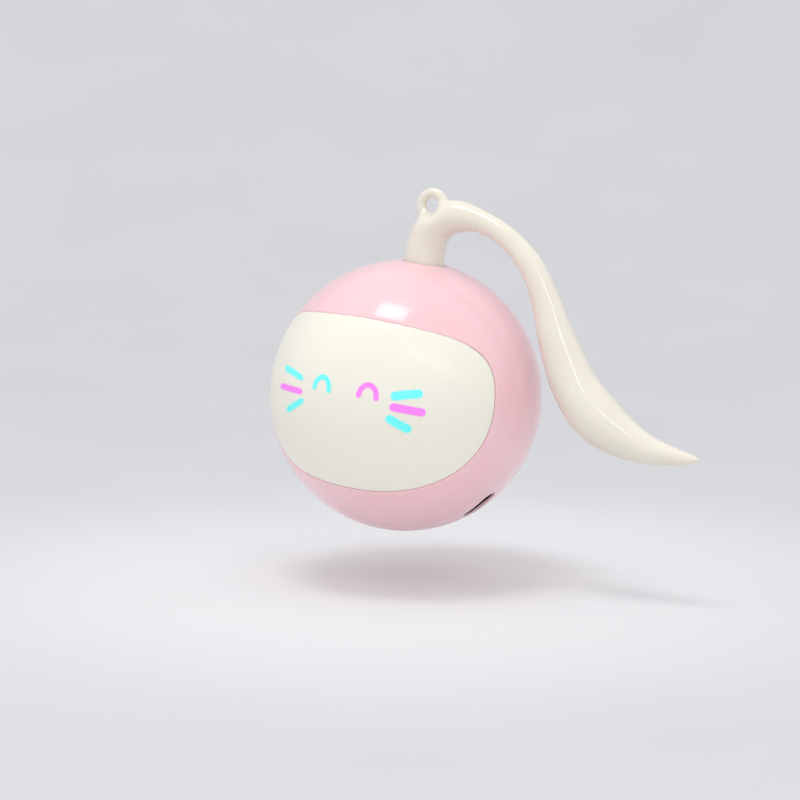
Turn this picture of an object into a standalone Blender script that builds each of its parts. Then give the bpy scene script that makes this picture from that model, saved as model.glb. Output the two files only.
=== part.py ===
"""A self rolling cat ball: a two-part shell in a silicone jacket, with a geared
swinging weight inside and a swivelling tail on top.

The origin is the ball's centre. +Z runs up the tail's socket, -Y is the face and
+X is the side that the tail falls to. Lengths are in metres.
"""
import bpy
import bmesh
from math import acos, atan2, cos, hypot, pi, radians, sin, sqrt, tan
from mathutils import Matrix, Vector

MM = 0.001

# Ball and its layers
BALL_RADIUS = 30.0 * MM
JACKET_WALL = 1.5 * MM
SEAT_GAP = 0.3 * MM
SHELL_WALL = 2.0 * MM
VISOR_SINK = 0.1 * MM
SPLIT_GAP = 0.3 * MM
OVERRUN = 6.0 * MM
BALL_SEGMENTS = 40
BALL_RINGS = 20
HIDDEN_SEGMENTS = 32
HIDDEN_RINGS = 16

JACKET_BORE = BALL_RADIUS - JACKET_WALL
SHELL_RADIUS = JACKET_BORE - SEAT_GAP
CAVITY_RADIUS = SHELL_RADIUS - SHELL_WALL
VISOR_RADIUS = BALL_RADIUS - VISOR_SINK

# The mechanism grows with the cavity: this ball's cavity is 26.2 inner units
CAVITY_UNITS_SHARE = 26.2
INNER = CAVITY_RADIUS / CAVITY_UNITS_SHARE

# Face window, as angles seen from the ball's centre
WINDOW_HALF_WIDTH = radians(67.5)
WINDOW_TOP = radians(37.9)
WINDOW_BOTTOM = radians(-38.8)
WINDOW_WIDEST = radians(10.5)
WINDOW_SQUARENESS_TOP = 3.0
WINDOW_SQUARENESS_BOTTOM = 2.42
WINDOW_GAP = 0.3 * MM
WINDOW_POINTS = 56

# Tail, swept along a path in the plane of the split
TAIL_REACH = 70.2 * MM
TAIL_RISE = 41.2 * MM
TAIL_SWELL_RADIUS = 5.3 * MM
TAIL_BASE_RADIUS = 4.5 * MM
TAIL_SIDES = 14
TAIL_STEPS = 3
# Each station: reach, rise above the ball's centre, radius
TAIL_PATH_SHARES = (
    (0.000, 0.825, 0.815),
    (0.027, 0.938, 0.800),
    (0.092, 0.990, 0.690),
    (0.177, 0.985, 0.480),
    (0.265, 0.933, 0.457),
    (0.360, 0.815, 0.505),
    (0.430, 0.646, 0.590),
    (0.490, 0.445, 0.780),
    (0.571, 0.229, 0.955),
    (0.675, 0.075, 1.025),
    (0.809, -0.010, 0.680),
    (0.936, -0.023, 0.345),
    (0.984, -0.016, 0.190),
    (1.000, -0.013, 0.060),
)
LOOP_RADIUS = 3.75 * MM
LOOP_HOLE_RADIUS = 1.65 * MM
LOOP_THICKNESS = 2.3 * MM
LOOP_EDGE = 0.75 * MM
LOOP_RISE_SHARE = 1.035
LOOP_REACH_SHARE = -0.006
STEM_RADIUS = 2.0 * MM
STEM_LENGTH = 11.6 * MM
STEM_FLANGE_RADIUS = 4.0 * MM
STEM_FLANGE_THICKNESS = 1.2 * MM

# Charging port, in the plane of the split
PORT_ANGLE = radians(-43.5)
PORT_LENGTH = 9.5 * MM
PORT_WIDTH = 4.8 * MM
PORT_DEPTH = 3.1 * MM
PORT_BOSS_WALL = 1.6 * MM
PORT_BOSS_DEPTH = 2.4 * MM
USB_LENGTH = 7.3 * MM
USB_WIDTH = 8.94 * MM
USB_HEIGHT = 3.2 * MM
USB_WALL = 0.3 * MM
USB_BACK = 1.2 * MM
TONGUE_LENGTH = 4.4 * MM
TONGUE_WIDTH = 6.6 * MM
TONGUE_HEIGHT = 0.7 * MM
SEAL_WALL = 0.28 * MM
SEAL_RECESS = 0.7 * MM
SEAL_DEPTH = 2.1 * MM

# Power button, in the plane of the split
BUTTON_ANGLE = radians(-120.0)
BUTTON_RADIUS = 3.0 * MM
BUTTON_PROUD = 0.2 * MM
BUTTON_DOME = 0.5 * MM
BUTTON_FLANGE_RADIUS = 4.2 * MM
BUTTON_FLANGE_THICKNESS = 1.2 * MM
BUTTON_STEM_RADIUS = 1.2 * MM
# Over the dome: distance from its axis, drop from its top
BUTTON_CROWN_SHARES = ((0.8, 0.3), (0.4, 0.0))
BUTTON_STEM_LENGTH = 1.8 * MM
BUTTON_TRAVEL = 0.5 * MM
SWITCH_LENGTH = 3.6 * MM
SWITCH_WIDTH = 6.0 * MM
SWITCH_HEIGHT = 3.5 * MM
PLUNGER_RADIUS = 1.0 * MM
PLUNGER_SHOWN = 1.0 * MM
PLUNGER_SUNK = 1.5 * MM

# Screws
SHELL_SCREW_CIRCLE = 22.6 * INNER
SHELL_SCREW_ANGLES = (radians(30.0), radians(150.0), radians(270.0))
SHELL_SCREW_SEAT = 11.0 * INNER
SHELL_SCREW_LENGTH = 17.0 * INNER
SHELL_SCREW_RADIUS = 1.0 * INNER
SHELL_HEAD_RADIUS = 1.9 * INNER
SHELL_HEAD_HEIGHT = 1.3 * INNER
PILLAR_RADIUS = 3.0 * INNER
SMALL_SCREW_RADIUS = 0.8 * INNER
SMALL_HEAD_RADIUS = 1.4 * INNER
SMALL_HEAD_HEIGHT = 1.0 * INNER
SCREW_CLEARANCE = 0.25 * INNER
SCREW_SIDES = 8
ROD_SIDES = 12

# Gear train, all axes along Y
MODULE = 0.5 * INNER
PRESSURE_ANGLE = radians(25.0)
ADDENDUM_SHARE = 0.80
DEDENDUM_SHARE = 1.05
BACKLASH = 0.12 * INNER
PINION_TEETH = 10
WHEEL_TEETH = 30
OUTPUT_TEETH = 32
FACE_WIDTH = 1.6 * INNER
LAYER_GAP = 0.5 * INNER
GEAR_A_ANGLE = radians(138.8)
MOTOR_RISE_SHARE = 26
AXLE_RADIUS = 0.75 * INNER
MOTOR_SHAFT_RADIUS = 0.6 * INNER
OUTPUT_SHAFT_RADIUS = 1.5 * INNER
RUNNING_CLEARANCE = 0.25 * INNER

# Gearbox frame
PLATE_THICKNESS = 1.5 * INNER
BASE_FRONT = 4.8 * INNER
BASE_CLEARANCE = 1.93 * INNER
COVER_EDGE = 2.8 * INNER
POST_RADIUS = 2.2 * INNER
POST_CIRCLE = 20.0 * INNER
POST_ANGLES = (radians(55.4), radians(119.7), radians(215.7), radians(-14.4))
POST_PILOT_DEPTH = 6.4 * INNER

# Motor
MOTOR_RADIUS = 6.0 * INNER
MOTOR_LENGTH = 8.0 * INNER
MOTOR_CAP_RADIUS = 5.5 * INNER
MOTOR_CAP_LENGTH = 1.5 * INNER
MOTOR_SCREW_OFFSET = 4.6 * INNER
MOTOR_TERMINAL = 3.8 * INNER
MOTOR_CAP_STEP_SHARE = 0.6
MOTOR_CAP_HUB_SHARE = 0.45
SCREW_GRIP = 2.2 * INNER

# Swinging weight
WEIGHT_RADIUS = 19.0 * INNER
WEIGHT_HALF_ANGLE = radians(80.0)
WEIGHT_THICKNESS = 9.5 * INNER
WEIGHT_FRONT = -16.0 * INNER
WEIGHT_HUB_RADIUS = 4.2 * INNER
WEIGHT_BEVEL = 0.8 * INNER

# Bushes
BUSH_WALL = 0.85 * INNER
BUSH_FLANGE_RADIUS = 3.4 * INNER
BUSH_FLANGE_THICKNESS = 0.8 * INNER
FRONT_BUSH_LENGTH = 4.6 * INNER
FRONT_BOSS_LENGTH = 6.2 * INNER
BOSS_WALL = 1.2 * INNER

# Electronics
BATTERY_LENGTH = 26.0 * INNER
BATTERY_HEIGHT = 16.0 * INNER
BATTERY_THICKNESS = 5.0 * INNER
BATTERY_TOP = -1.0 * INNER
PAD_THICKNESS = 0.8 * INNER
PAD_INSET = 1.0 * INNER
PAD_WIDTH_SHARE = 0.8
BATTERY_EDGE_SHARE = 0.2
BOARD_THICKNESS = 1.0 * INNER
BOARD_RADIUS = 22.5 * INNER
BOARD_TOP = -11.4 * INNER
BOARD_LEFT = -13.0 * INNER
STANDOFF_RADIUS = 2.0 * INNER
STANDOFF_PLACES = [(-6.3 * INNER, -12.5 * INNER), (9.0 * INNER, -14.5 * INNER)]
CHIP_HEIGHT = 1.0 * INNER
CONTROLLER_SIZE = (5.0 * INNER, 5.0 * INNER)
CONTROLLER_PLACE = (-1.5 * INNER, -14.6 * INNER)
CHARGER_SIZE = (4.0 * INNER, 3.0 * INNER)
CHARGER_PLACE = (4.4 * INNER, -13.1 * INNER)
LED_SIZE = (1.6 * INNER, 0.8 * INNER)
LED_PLACE = (11.8 * INNER, -12.2 * INNER)
LED_HEIGHT = 0.7 * INNER
SENSOR_RADIUS = 1.5 * INNER
SENSOR_LENGTH = 5.0 * INNER
SENSOR_PLACE = (6.0 * INNER, -18.2 * INNER)
LEAD_RADIUS = 0.45 * INNER
LEAD_PITCH = 1.3 * INNER
LEAD_STEPS = 3
LEAD_NOTCH_PLACE = (7.5 * INNER, -20.4 * INNER)
LEAD_NOTCH_RADIUS = 3.2 * INNER
LEAD_END = -17.8 * INNER
# How far down the battery the motor leads pass their stations
LEAD_DROP_SHARES = (0.5, 0.85)
# Where each lead lies across the notch, in lead pitches
LEAD_SPREAD_SHARES = (-1.5, -0.5, 0.5, 1.5)
# How far a lead stands off each place on its way, in lead pitches: x, y, z
MOTOR_LEAD_SHARES = (
    (0, 0.35, -1.54),
    (0.46, 0.92, -4.62),
    (-0.31, 2.0, 0),
    (0, 1.23, 0),
    (0, 0.92, 0),
    (0, -1.08, -2.0),
    (0, 0.38, -0.08),
    (0, -0.46, 0.38),
    (0, 0.54, -0.77),
    (0, 0, 0),
)
BATTERY_LEAD_SHARES = (
    (0, 0, 0),
    (0, -0.31, -0.69),
    (0, 0, -1.62),
    (0, 0, 0.38),
    (0, 0, 0.69),
    (0, 0.69, -0.77),
    (0, 0, 0),
)


# Scene and materials

def clear_scene():
    for item in list(bpy.data.objects):
        bpy.data.objects.remove(item, do_unlink=True)


def linear(channel):
    if channel <= 0.04045:
        return channel / 12.92
    return ((channel + 0.055) / 1.055) ** 2.4


def material(name, hex_colour, roughness, metallic=0.0):
    channels = [int(hex_colour[i:i + 2], 16) / 255 for i in (0, 2, 4)]
    made = bpy.data.materials.new(name)
    made.use_nodes = True
    shader = made.node_tree.nodes["Principled BSDF"]
    colour = (*[linear(c) for c in channels], 1.0)
    shader.inputs["Base Color"].default_value = colour
    shader.inputs["Roughness"].default_value = roughness
    shader.inputs["Metallic"].default_value = metallic
    made.diffuse_color = colour
    return made


# Small geometry helpers

def add_object(name, mesh_data, look=None, smooth_angle=radians(35.0)):
    mesh = bpy.data.meshes.new(name)
    mesh_data.normal_update()
    bmesh.ops.recalc_face_normals(mesh_data, faces=mesh_data.faces)
    if mesh_data.calc_volume(signed=True) < 0:
        bmesh.ops.reverse_faces(mesh_data, faces=mesh_data.faces)
    mesh_data.to_mesh(mesh)
    mesh_data.free()
    mesh.shade_smooth()
    mesh.set_sharp_from_angle(angle=smooth_angle)
    item = bpy.data.objects.new(name, mesh)
    bpy.context.collection.objects.link(item)
    if look is not None:
        mesh.materials.append(look)
    return item


def carve(target, cutters, operation="DIFFERENCE"):
    """Apply one Boolean for each cutter, then remove the cutters."""
    for cutter in cutters:
        cut = target.modifiers.new("cut", "BOOLEAN")
        cut.operation = operation
        cut.solver = "EXACT"
        cut.object = cutter
    view = bpy.context.evaluated_depsgraph_get()
    mesh = bpy.data.meshes.new_from_object(target.evaluated_get(view))
    look = target.data.materials[0] if target.data.materials else None
    target.modifiers.clear()
    target.data = mesh
    mesh.materials.clear()
    if look is not None:
        mesh.materials.append(look)
    for cutter in cutters:
        bpy.data.objects.remove(cutter, do_unlink=True)
    return target


def ball(name, radius, segments, rings, look=None):
    bm = bmesh.new()
    bmesh.ops.create_uvsphere(bm, u_segments=segments, v_segments=rings, radius=radius)
    return add_object(name, bm, look)


def turned(name, profile, axis_point, direction, sides, look=None):
    """Turn a profile of (radius, height) pairs about an axis."""
    bm = bmesh.new()
    rings = []
    for radius, height in profile:
        if radius == 0:
            rings.append([bm.verts.new((0, 0, height))])
        else:
            turn = [2 * pi * i / sides for i in range(sides)]
            rings.append([bm.verts.new((radius * cos(a), radius * sin(a), height)) for a in turn])
    for low, high in zip(rings, rings[1:]):
        for i in range(sides):
            j = (i + 1) % sides
            corners = [low[i % len(low)], low[j % len(low)], high[j % len(high)], high[i % len(high)]]
            corners = list(dict.fromkeys(corners))
            bm.faces.new(corners)
    for ring in (rings[0], rings[-1]):
        if len(ring) > 1:
            bm.faces.new(ring)
    aim = Vector(direction).to_track_quat("Z", "Y").to_matrix().to_4x4()
    bm.transform(Matrix.Translation(Vector(axis_point)) @ aim)
    return add_object(name, bm, look)


def rod(name, radius, start, end, place=(0.0, 0.0), sides=ROD_SIDES, look=None):
    """A cylinder along Y at a place in the XZ plane."""
    point = (place[0], 0, place[1])
    return turned(name, [(radius, start), (radius, end)], point, (0, 1, 0), sides, look)


def extruded(name, outline, start, end, look=None):
    """Extrude an outline of (x, z) points along Y."""
    bm = bmesh.new()
    base = [bm.verts.new((x, start, z)) for x, z in outline]
    face = bm.faces.new(base)
    grown = bmesh.ops.extrude_face_region(bm, geom=[face])
    moved = [v for v in grown["geom"] if isinstance(v, bmesh.types.BMVert)]
    bmesh.ops.translate(bm, verts=moved, vec=(0, end - start, 0))
    return add_object(name, bm, look)


def block(name, low, high, look=None):
    bm = bmesh.new()
    bmesh.ops.create_cube(bm, size=1.0)
    size = [b - a for a, b in zip(low, high)]
    centre = [(a + b) / 2 for a, b in zip(low, high)]
    bm.transform(Matrix.Translation(centre) @ Matrix.Diagonal((*size, 1)))
    return add_object(name, bm, look)


def rounded(item, width, steps=2):
    """Round the sharp edges of an object."""
    bevel = item.modifiers.new("rounded", "BEVEL")
    bevel.width = width
    bevel.segments = steps
    bevel.limit_method = "ANGLE"
    bevel.angle_limit = radians(40.0)
    bevel.use_clamp_overlap = True
    return carve(item, [])


def on_circle(radius, angle):
    return (radius * cos(angle), radius * sin(angle))


def arc(radius, start, end, steps, centre=(0.0, 0.0)):
    points = []
    for i in range(steps + 1):
        x, z = on_circle(radius, start + (end - start) * i / steps)
        points.append((centre[0] + x, centre[1] + z))
    return points


def set_origin(item, point):
    item.data.transform(Matrix.Translation(-Vector(point)))
    item.location = point


def radial_frame(angle):
    """Local X runs round the ball, local Y is Y and local Z runs outward."""
    outward = Vector((cos(angle), 0, sin(angle)))
    across = Vector((0, 1, 0))
    around = across.cross(outward)
    frame = Matrix((around, across, outward)).transposed()
    return frame.to_4x4()


def stadium_bar(name, length, width, low, high, angle, look=None, steps=6):
    """A bar with round ends, standing along a radius of the ball."""
    bm = bmesh.new()
    half = (length - width) / 2
    outline = arc(width / 2, -pi / 2, pi / 2, steps, (half, 0.0))
    outline += arc(width / 2, pi / 2, 3 * pi / 2, steps, (-half, 0.0))
    face = bm.faces.new([bm.verts.new((x, y, low)) for x, y in outline])
    grown = bmesh.ops.extrude_face_region(bm, geom=[face])
    moved = [v for v in grown["geom"] if isinstance(v, bmesh.types.BMVert)]
    bmesh.ops.translate(bm, verts=moved, vec=(0, 0, high - low))
    bm.transform(radial_frame(angle))
    return add_object(name, bm, look)


# Face window

def power(value, exponent):
    return (1 if value >= 0 else -1) * abs(value) ** exponent


def window_directions(inset):
    """Unit vectors round the window, drawn in by an angle."""
    found = []
    for i in range(WINDOW_POINTS):
        turn = 2 * pi * (i + 0.5) / WINDOW_POINTS
        upper = sin(turn) > 0
        squareness = WINDOW_SQUARENESS_TOP if upper else WINDOW_SQUARENESS_BOTTOM
        reach = (WINDOW_TOP if upper else WINDOW_BOTTOM) - WINDOW_WIDEST
        lon = WINDOW_HALF_WIDTH * power(cos(turn), 2 / squareness)
        lat = WINDOW_WIDEST + reach * abs(sin(turn)) ** (2 / squareness)
        found.append(Vector((sin(lon) * cos(lat), -cos(lon) * cos(lat), sin(lat))))
    drawn = []
    for i, point in enumerate(found):
        along = found[(i + 1) % len(found)] - found[i - 1]
        inward = point.cross(along).normalized()
        if inward.dot(Vector((0, -1, 0)) - point) < 0:
            inward = -inward
        drawn.append((point + inward * tan(inset)).normalized())
    return drawn


def window_cone(name, inset):
    """A solid that widens from inside the ball out through the window."""
    near = BALL_RADIUS * 0.6
    far = BALL_RADIUS * 1.7
    bm = bmesh.new()
    directions = window_directions(inset)
    low = [bm.verts.new(d * near) for d in directions]
    high = [bm.verts.new(d * far) for d in directions]
    middle = Vector((0, -cos(WINDOW_WIDEST), sin(WINDOW_WIDEST)))
    low_hub = bm.verts.new(middle * near)
    high_hub = bm.verts.new(middle * far)
    for i in range(len(directions)):
        j = (i + 1) % len(directions)
        bm.faces.new((low[i], low[j], high[j], high[i]))
        bm.faces.new((low_hub, low[j], low[i]))
        bm.faces.new((high_hub, high[i], high[j]))
    return add_object(name, bm)


# Gears

def involute(angle):
    return tan(angle) - angle


def gear_outline(teeth, phase):
    """Points of a spur gear's outline; a tooth is centred on the phase angle."""
    pitch_radius = MODULE * teeth / 2
    base_radius = pitch_radius * cos(PRESSURE_ANGLE)
    tip_radius = pitch_radius + ADDENDUM_SHARE * MODULE
    root_radius = pitch_radius - DEDENDUM_SHARE * MODULE
    half_pitch = pi / (2 * teeth) - BACKLASH / (4 * pitch_radius)
    start = max(root_radius, base_radius)
    flank = [start, (start + pitch_radius) / 2, (pitch_radius + tip_radius) / 2, tip_radius]
    if teeth > PINION_TEETH:
        flank = [start, pitch_radius, tip_radius]
    if root_radius < start:
        flank = [root_radius] + flank
    sides = []
    for radius in flank:
        lean = acos(min(1.0, base_radius / radius))
        sides.append((radius, half_pitch + involute(PRESSURE_ANGLE) - involute(lean)))
    points = []
    for tooth in range(teeth):
        middle = phase + 2 * pi * tooth / teeth
        points += [on_circle(radius, middle - half) for radius, half in sides]
        points += [on_circle(radius, middle + half) for radius, half in reversed(sides)]
    return points


def moved_outline(points, place):
    return [(x + place[0], z + place[1]) for x, z in points]


def meshing_phase(teeth, phase, place, other_teeth, other_place):
    """Phase of the other gear that sets its gaps on this gear's teeth."""
    toward = atan2(other_place[1] - place[1], other_place[0] - place[0])
    fraction = (toward - phase) * teeth / (2 * pi)
    return toward + pi - (0.5 - fraction) * 2 * pi / other_teeth


def pitch(teeth):
    return MODULE * teeth / 2


OUTPUT_PLACE = (0.0, 0.0)
MOTOR_HEIGHT = MODULE * MOTOR_RISE_SHARE
MOTOR_PLACE = (0.0, MOTOR_HEIGHT)
GEAR_STEP = pitch(PINION_TEETH) + pitch(WHEEL_TEETH)
OUTPUT_STEP = pitch(PINION_TEETH) + pitch(OUTPUT_TEETH)


def circle_meeting(first, first_radius, second, second_radius, side):
    """Where two circles in the XZ plane cross, on the given side."""
    dx, dz = second[0] - first[0], second[1] - first[1]
    apart = hypot(dx, dz)
    along = (first_radius ** 2 - second_radius ** 2 + apart ** 2) / (2 * apart)
    off = side * sqrt(first_radius ** 2 - along ** 2)
    return (first[0] + (along * dx - off * dz) / apart, first[1] + (along * dz + off * dx) / apart)


GEAR_A_DISTANCE = MOTOR_HEIGHT * cos(pi / 2 - GEAR_A_ANGLE) - sqrt(
    GEAR_STEP ** 2 - (MOTOR_HEIGHT * sin(pi / 2 - GEAR_A_ANGLE)) ** 2)
GEAR_A_FAR = 2 * MOTOR_HEIGHT * cos(pi / 2 - GEAR_A_ANGLE) - GEAR_A_DISTANCE
GEAR_A_PLACE = on_circle(GEAR_A_FAR, GEAR_A_ANGLE)
GEAR_B_PLACE = circle_meeting(OUTPUT_PLACE, OUTPUT_STEP, GEAR_A_PLACE, GEAR_STEP, 1)
GEARBOX_BACK = BASE_FRONT + PLATE_THICKNESS
LAYER_1 = BASE_FRONT - LAYER_GAP - FACE_WIDTH
LAYER_2 = LAYER_1 - LAYER_GAP - FACE_WIDTH
LAYER_3 = LAYER_2 - LAYER_GAP - FACE_WIDTH
COVER_BACK = LAYER_3 - LAYER_GAP
COVER_FRONT = COVER_BACK - PLATE_THICKNESS
BEHIND_BASE = GEARBOX_BACK + SEAT_GAP
BASE_RADIUS = sqrt(CAVITY_RADIUS ** 2 - GEARBOX_BACK ** 2) - BASE_CLEARANCE
SMALL_HOLE = SMALL_SCREW_RADIUS + SCREW_CLEARANCE
SHELL_HOLE = SHELL_SCREW_RADIUS + SCREW_CLEARANCE
POST_PLACES = [on_circle(POST_CIRCLE, angle) for angle in POST_ANGLES]
PILLAR_PLACES = [on_circle(SHELL_SCREW_CIRCLE, angle) for angle in SHELL_SCREW_ANGLES]
BUSH_BORE = OUTPUT_SHAFT_RADIUS + RUNNING_CLEARANCE
BUSH_RADIUS = BUSH_BORE + BUSH_WALL
BUSH_SEAT = BUSH_RADIUS + SEAT_GAP
FRONT_BOSS_FACE = -CAVITY_RADIUS + FRONT_BOSS_LENGTH
BOARD_FRONT = USB_HEIGHT / 2 + SEAT_GAP
BOARD_BACK = BOARD_FRONT + BOARD_THICKNESS
PORT_FLOOR = BALL_RADIUS - PORT_DEPTH
USB_MOUTH = PORT_FLOOR - SEAT_GAP
FAR_SIDE = BALL_RADIUS + OVERRUN


# Shell halves and jacket

def shell_cavity(name, half):
    """The hollow of one half, with its pillars, posts and bosses left standing."""
    hollow = ball(name, CAVITY_RADIUS, HIDDEN_SEGMENTS, HIDDEN_RINGS)
    side = 1 if half == "rear" else -1
    standing = []
    for place in PILLAR_PLACES:
        start, end = sorted((side * SPLIT_GAP / 2, side * FAR_SIDE))
        standing.append(rod("pillar", PILLAR_RADIUS, start, end, place))
    if half == "rear":
        for place in POST_PLACES:
            standing.append(rod("post", POST_RADIUS, BEHIND_BASE, FAR_SIDE, place))
    else:
        boss = BUSH_SEAT + BOSS_WALL
        standing.append(rod("boss", boss, -FAR_SIDE, FRONT_BOSS_FACE, OUTPUT_PLACE, 24))
    wall = 2 * PORT_BOSS_WALL
    inner = CAVITY_RADIUS - PORT_BOSS_DEPTH
    standing.append(stadium_bar("port boss", PORT_LENGTH + wall, PORT_WIDTH + wall, inner,
                                FAR_SIDE, PORT_ANGLE))
    return carve(hollow, standing)


def half_shell(half, look):
    shell = ball(half + "_shell", SHELL_RADIUS, HIDDEN_SEGMENTS, HIDDEN_RINGS, look)
    if half == "front":
        pad = ball("pad", VISOR_RADIUS, BALL_SEGMENTS, BALL_RINGS)
        carve(pad, [window_cone("pad edge", WINDOW_GAP / VISOR_RADIUS)], "INTERSECT")
        carve(shell, [pad], "UNION")
    carve(shell, [shell_cavity("hollow", half)])
    side = 1 if half == "rear" else -1
    near, far = -side * FAR_SIDE, side * SPLIT_GAP / 2
    low, high = min(near, far), max(near, far)
    other = block("other half", (-FAR_SIDE, low, -FAR_SIDE), (FAR_SIDE, high, FAR_SIDE))
    cuts = [other]
    depth = SHELL_SCREW_LENGTH - SHELL_SCREW_SEAT + SEAT_GAP
    for place in PILLAR_PLACES:
        cuts.append(rod("screw hole", SHELL_HOLE, -depth, FAR_SIDE, place, SCREW_SIDES))
        if half == "rear":
            sink = SHELL_HEAD_RADIUS + SCREW_CLEARANCE
            cuts.append(rod("screw sink", sink, SHELL_SCREW_SEAT, FAR_SIDE, place, SCREW_SIDES))
    if half == "rear":
        for place in POST_PLACES:
            end = BEHIND_BASE + POST_PILOT_DEPTH
            cuts.append(rod("pilot", SMALL_HOLE, 0, end, place, SCREW_SIDES))
    else:
        back = FRONT_BOSS_FACE - FRONT_BUSH_LENGTH - SEAT_GAP
        cuts.append(rod("bush seat", BUSH_SEAT, back, 0, OUTPUT_PLACE, 24))
    gap = 2 * SEAT_GAP
    cuts.append(stadium_bar("port", PORT_LENGTH, PORT_WIDTH, PORT_FLOOR, FAR_SIDE, PORT_ANGLE))
    cuts.append(stadium_bar("receptacle", USB_WIDTH + gap, USB_HEIGHT + gap, BALL_RADIUS / 2,
                            PORT_FLOOR + SEAT_GAP, PORT_ANGLE))
    button = 2 * (BUTTON_RADIUS + SEAT_GAP)
    cuts.append(turned("button hole", [(button / 2, BALL_RADIUS / 2), (button / 2, FAR_SIDE)],
                       (0, 0, 0), radial_frame(BUTTON_ANGLE).col[2].to_3d(), 20))
    stem = STEM_RADIUS + SEAT_GAP
    cuts.append(turned("stem hole", [(stem, 0), (stem, FAR_SIDE)], (0, 0, 0), (0, 0, 1), 16))
    return carve(shell, cuts)


def jacket(look):
    skin = ball("jacket", BALL_RADIUS, BALL_SEGMENTS, BALL_RINGS, look)
    bore = ball("bore", JACKET_BORE, HIDDEN_SEGMENTS, HIDDEN_RINGS)
    port = stadium_bar("port", PORT_LENGTH, PORT_WIDTH, BALL_RADIUS / 2, FAR_SIDE, PORT_ANGLE)
    button = BUTTON_RADIUS + SEAT_GAP
    out = radial_frame(BUTTON_ANGLE).col[2].to_3d()
    button_hole = turned("button hole", [(button, BALL_RADIUS / 2), (button, FAR_SIDE)],
                         (0, 0, 0), out, 20)
    tail = TAIL_BASE_RADIUS + SEAT_GAP
    tail_hole = turned("tail hole", [(tail, 0), (tail, FAR_SIDE)], (0, 0, 0), (0, 0, 1), 32)
    return carve(skin, [bore, window_cone("window", 0), port, button_hole, tail_hole])


# Tail

def smooth_path(stations, steps):
    """A Catmull-Rom curve through the stations."""
    ends = [2 * stations[0] - stations[1]] + stations + [2 * stations[-1] - stations[-2]]
    path = []
    for k in range(1, len(ends) - 2):
        a, b, c, d = ends[k - 1:k + 3]
        for i in range(steps):
            t = i / steps
            path.append(0.5 * (2 * b + (c - a) * t + (2 * a - 5 * b + 4 * c - d) * t ** 2
                               + (3 * b - a - 3 * c + d) * t ** 3))
    path.append(ends[-2])
    return path


def tail(look):
    foot = SHELL_RADIUS + SEAT_GAP
    stations = [Vector((0, foot, TAIL_BASE_RADIUS))]
    for reach, rise, radius in TAIL_PATH_SHARES:
        stations.append(Vector((reach * TAIL_REACH, rise * TAIL_RISE, radius * TAIL_SWELL_RADIUS)))
    path = smooth_path(stations, TAIL_STEPS)
    bm = bmesh.new()
    rings = []
    for i, (x, z, radius) in enumerate(path):
        before, after = path[max(i - 1, 0)], path[min(i + 1, len(path) - 1)]
        heading = Vector((after[0] - before[0], 0, after[1] - before[1])).normalized()
        if i == 0:
            heading = Vector((0, 0, 1))
        side = Vector((heading.z, 0, -heading.x))
        ring = []
        for k in range(TAIL_SIDES):
            turn = 2 * pi * k / TAIL_SIDES
            offset = side * cos(turn) * radius + Vector((0, sin(turn) * radius, 0))
            ring.append(bm.verts.new(Vector((x, 0, z)) + offset))
        rings.append(ring)
    for low, high in zip(rings, rings[1:]):
        for k in range(TAIL_SIDES):
            j = (k + 1) % TAIL_SIDES
            bm.faces.new((low[k], low[j], high[j], high[k]))
    bm.faces.new(rings[0])
    bm.faces.new(rings[-1])
    body = add_object("tail", bm, look, radians(60.0))
    loop_place = (LOOP_REACH_SHARE * TAIL_REACH, LOOP_RISE_SHARE * TAIL_RISE)
    half = LOOP_THICKNESS / 2
    loop = rod("loop", LOOP_RADIUS, -half, half, loop_place, 24)
    rounded(loop, LOOP_EDGE)
    carve(body, [loop], "UNION")
    reach = TAIL_SWELL_RADIUS
    hole = rod("loop hole", LOOP_HOLE_RADIUS, -reach, reach, loop_place, 16)
    socket = STEM_RADIUS + SEAT_GAP
    top = stem_foot() + STEM_LENGTH + SEAT_GAP
    bore = turned("stem bore", [(socket, 0), (socket, top)], (0, 0, 0), (0, 0, 1), 16)
    return carve(body, [hole, bore])


def stem_foot():
    """Height where the stem leaves its flange, under the shell's crown."""
    inner = sqrt(CAVITY_RADIUS ** 2 - STEM_FLANGE_RADIUS ** 2)
    return inner - SEAT_GAP


def tail_stem(look):
    foot = stem_foot()
    profile = [
        (STEM_FLANGE_RADIUS, foot - STEM_FLANGE_THICKNESS),
        (STEM_FLANGE_RADIUS, foot),
        (STEM_RADIUS, foot),
        (STEM_RADIUS, foot + STEM_LENGTH - SEAT_GAP),
        (STEM_RADIUS - SEAT_GAP, foot + STEM_LENGTH),
    ]
    return turned("tail_stem", profile, (0, 0, 0), (0, 0, 1), 16, look)


# Power button and its switch

def power_button(look):
    out = radial_frame(BUTTON_ANGLE).col[2].to_3d()
    flange_top = sqrt(CAVITY_RADIUS ** 2 - BUTTON_FLANGE_RADIUS ** 2) - SEAT_GAP
    flange_foot = flange_top - BUTTON_FLANGE_THICKNESS
    top = BALL_RADIUS + BUTTON_PROUD
    profile = [
        (BUTTON_STEM_RADIUS, flange_foot - BUTTON_STEM_LENGTH),
        (BUTTON_STEM_RADIUS, flange_foot),
        (BUTTON_FLANGE_RADIUS, flange_foot),
        (BUTTON_FLANGE_RADIUS, flange_top),
        (BUTTON_RADIUS, flange_top),
        (BUTTON_RADIUS, top - BUTTON_DOME),
    ]
    for reach, drop in BUTTON_CROWN_SHARES:
        profile.append((BUTTON_RADIUS * reach, top - BUTTON_DOME * drop))
    return turned("power_button", profile, (0, 0, 0), out, 16, look)


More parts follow.
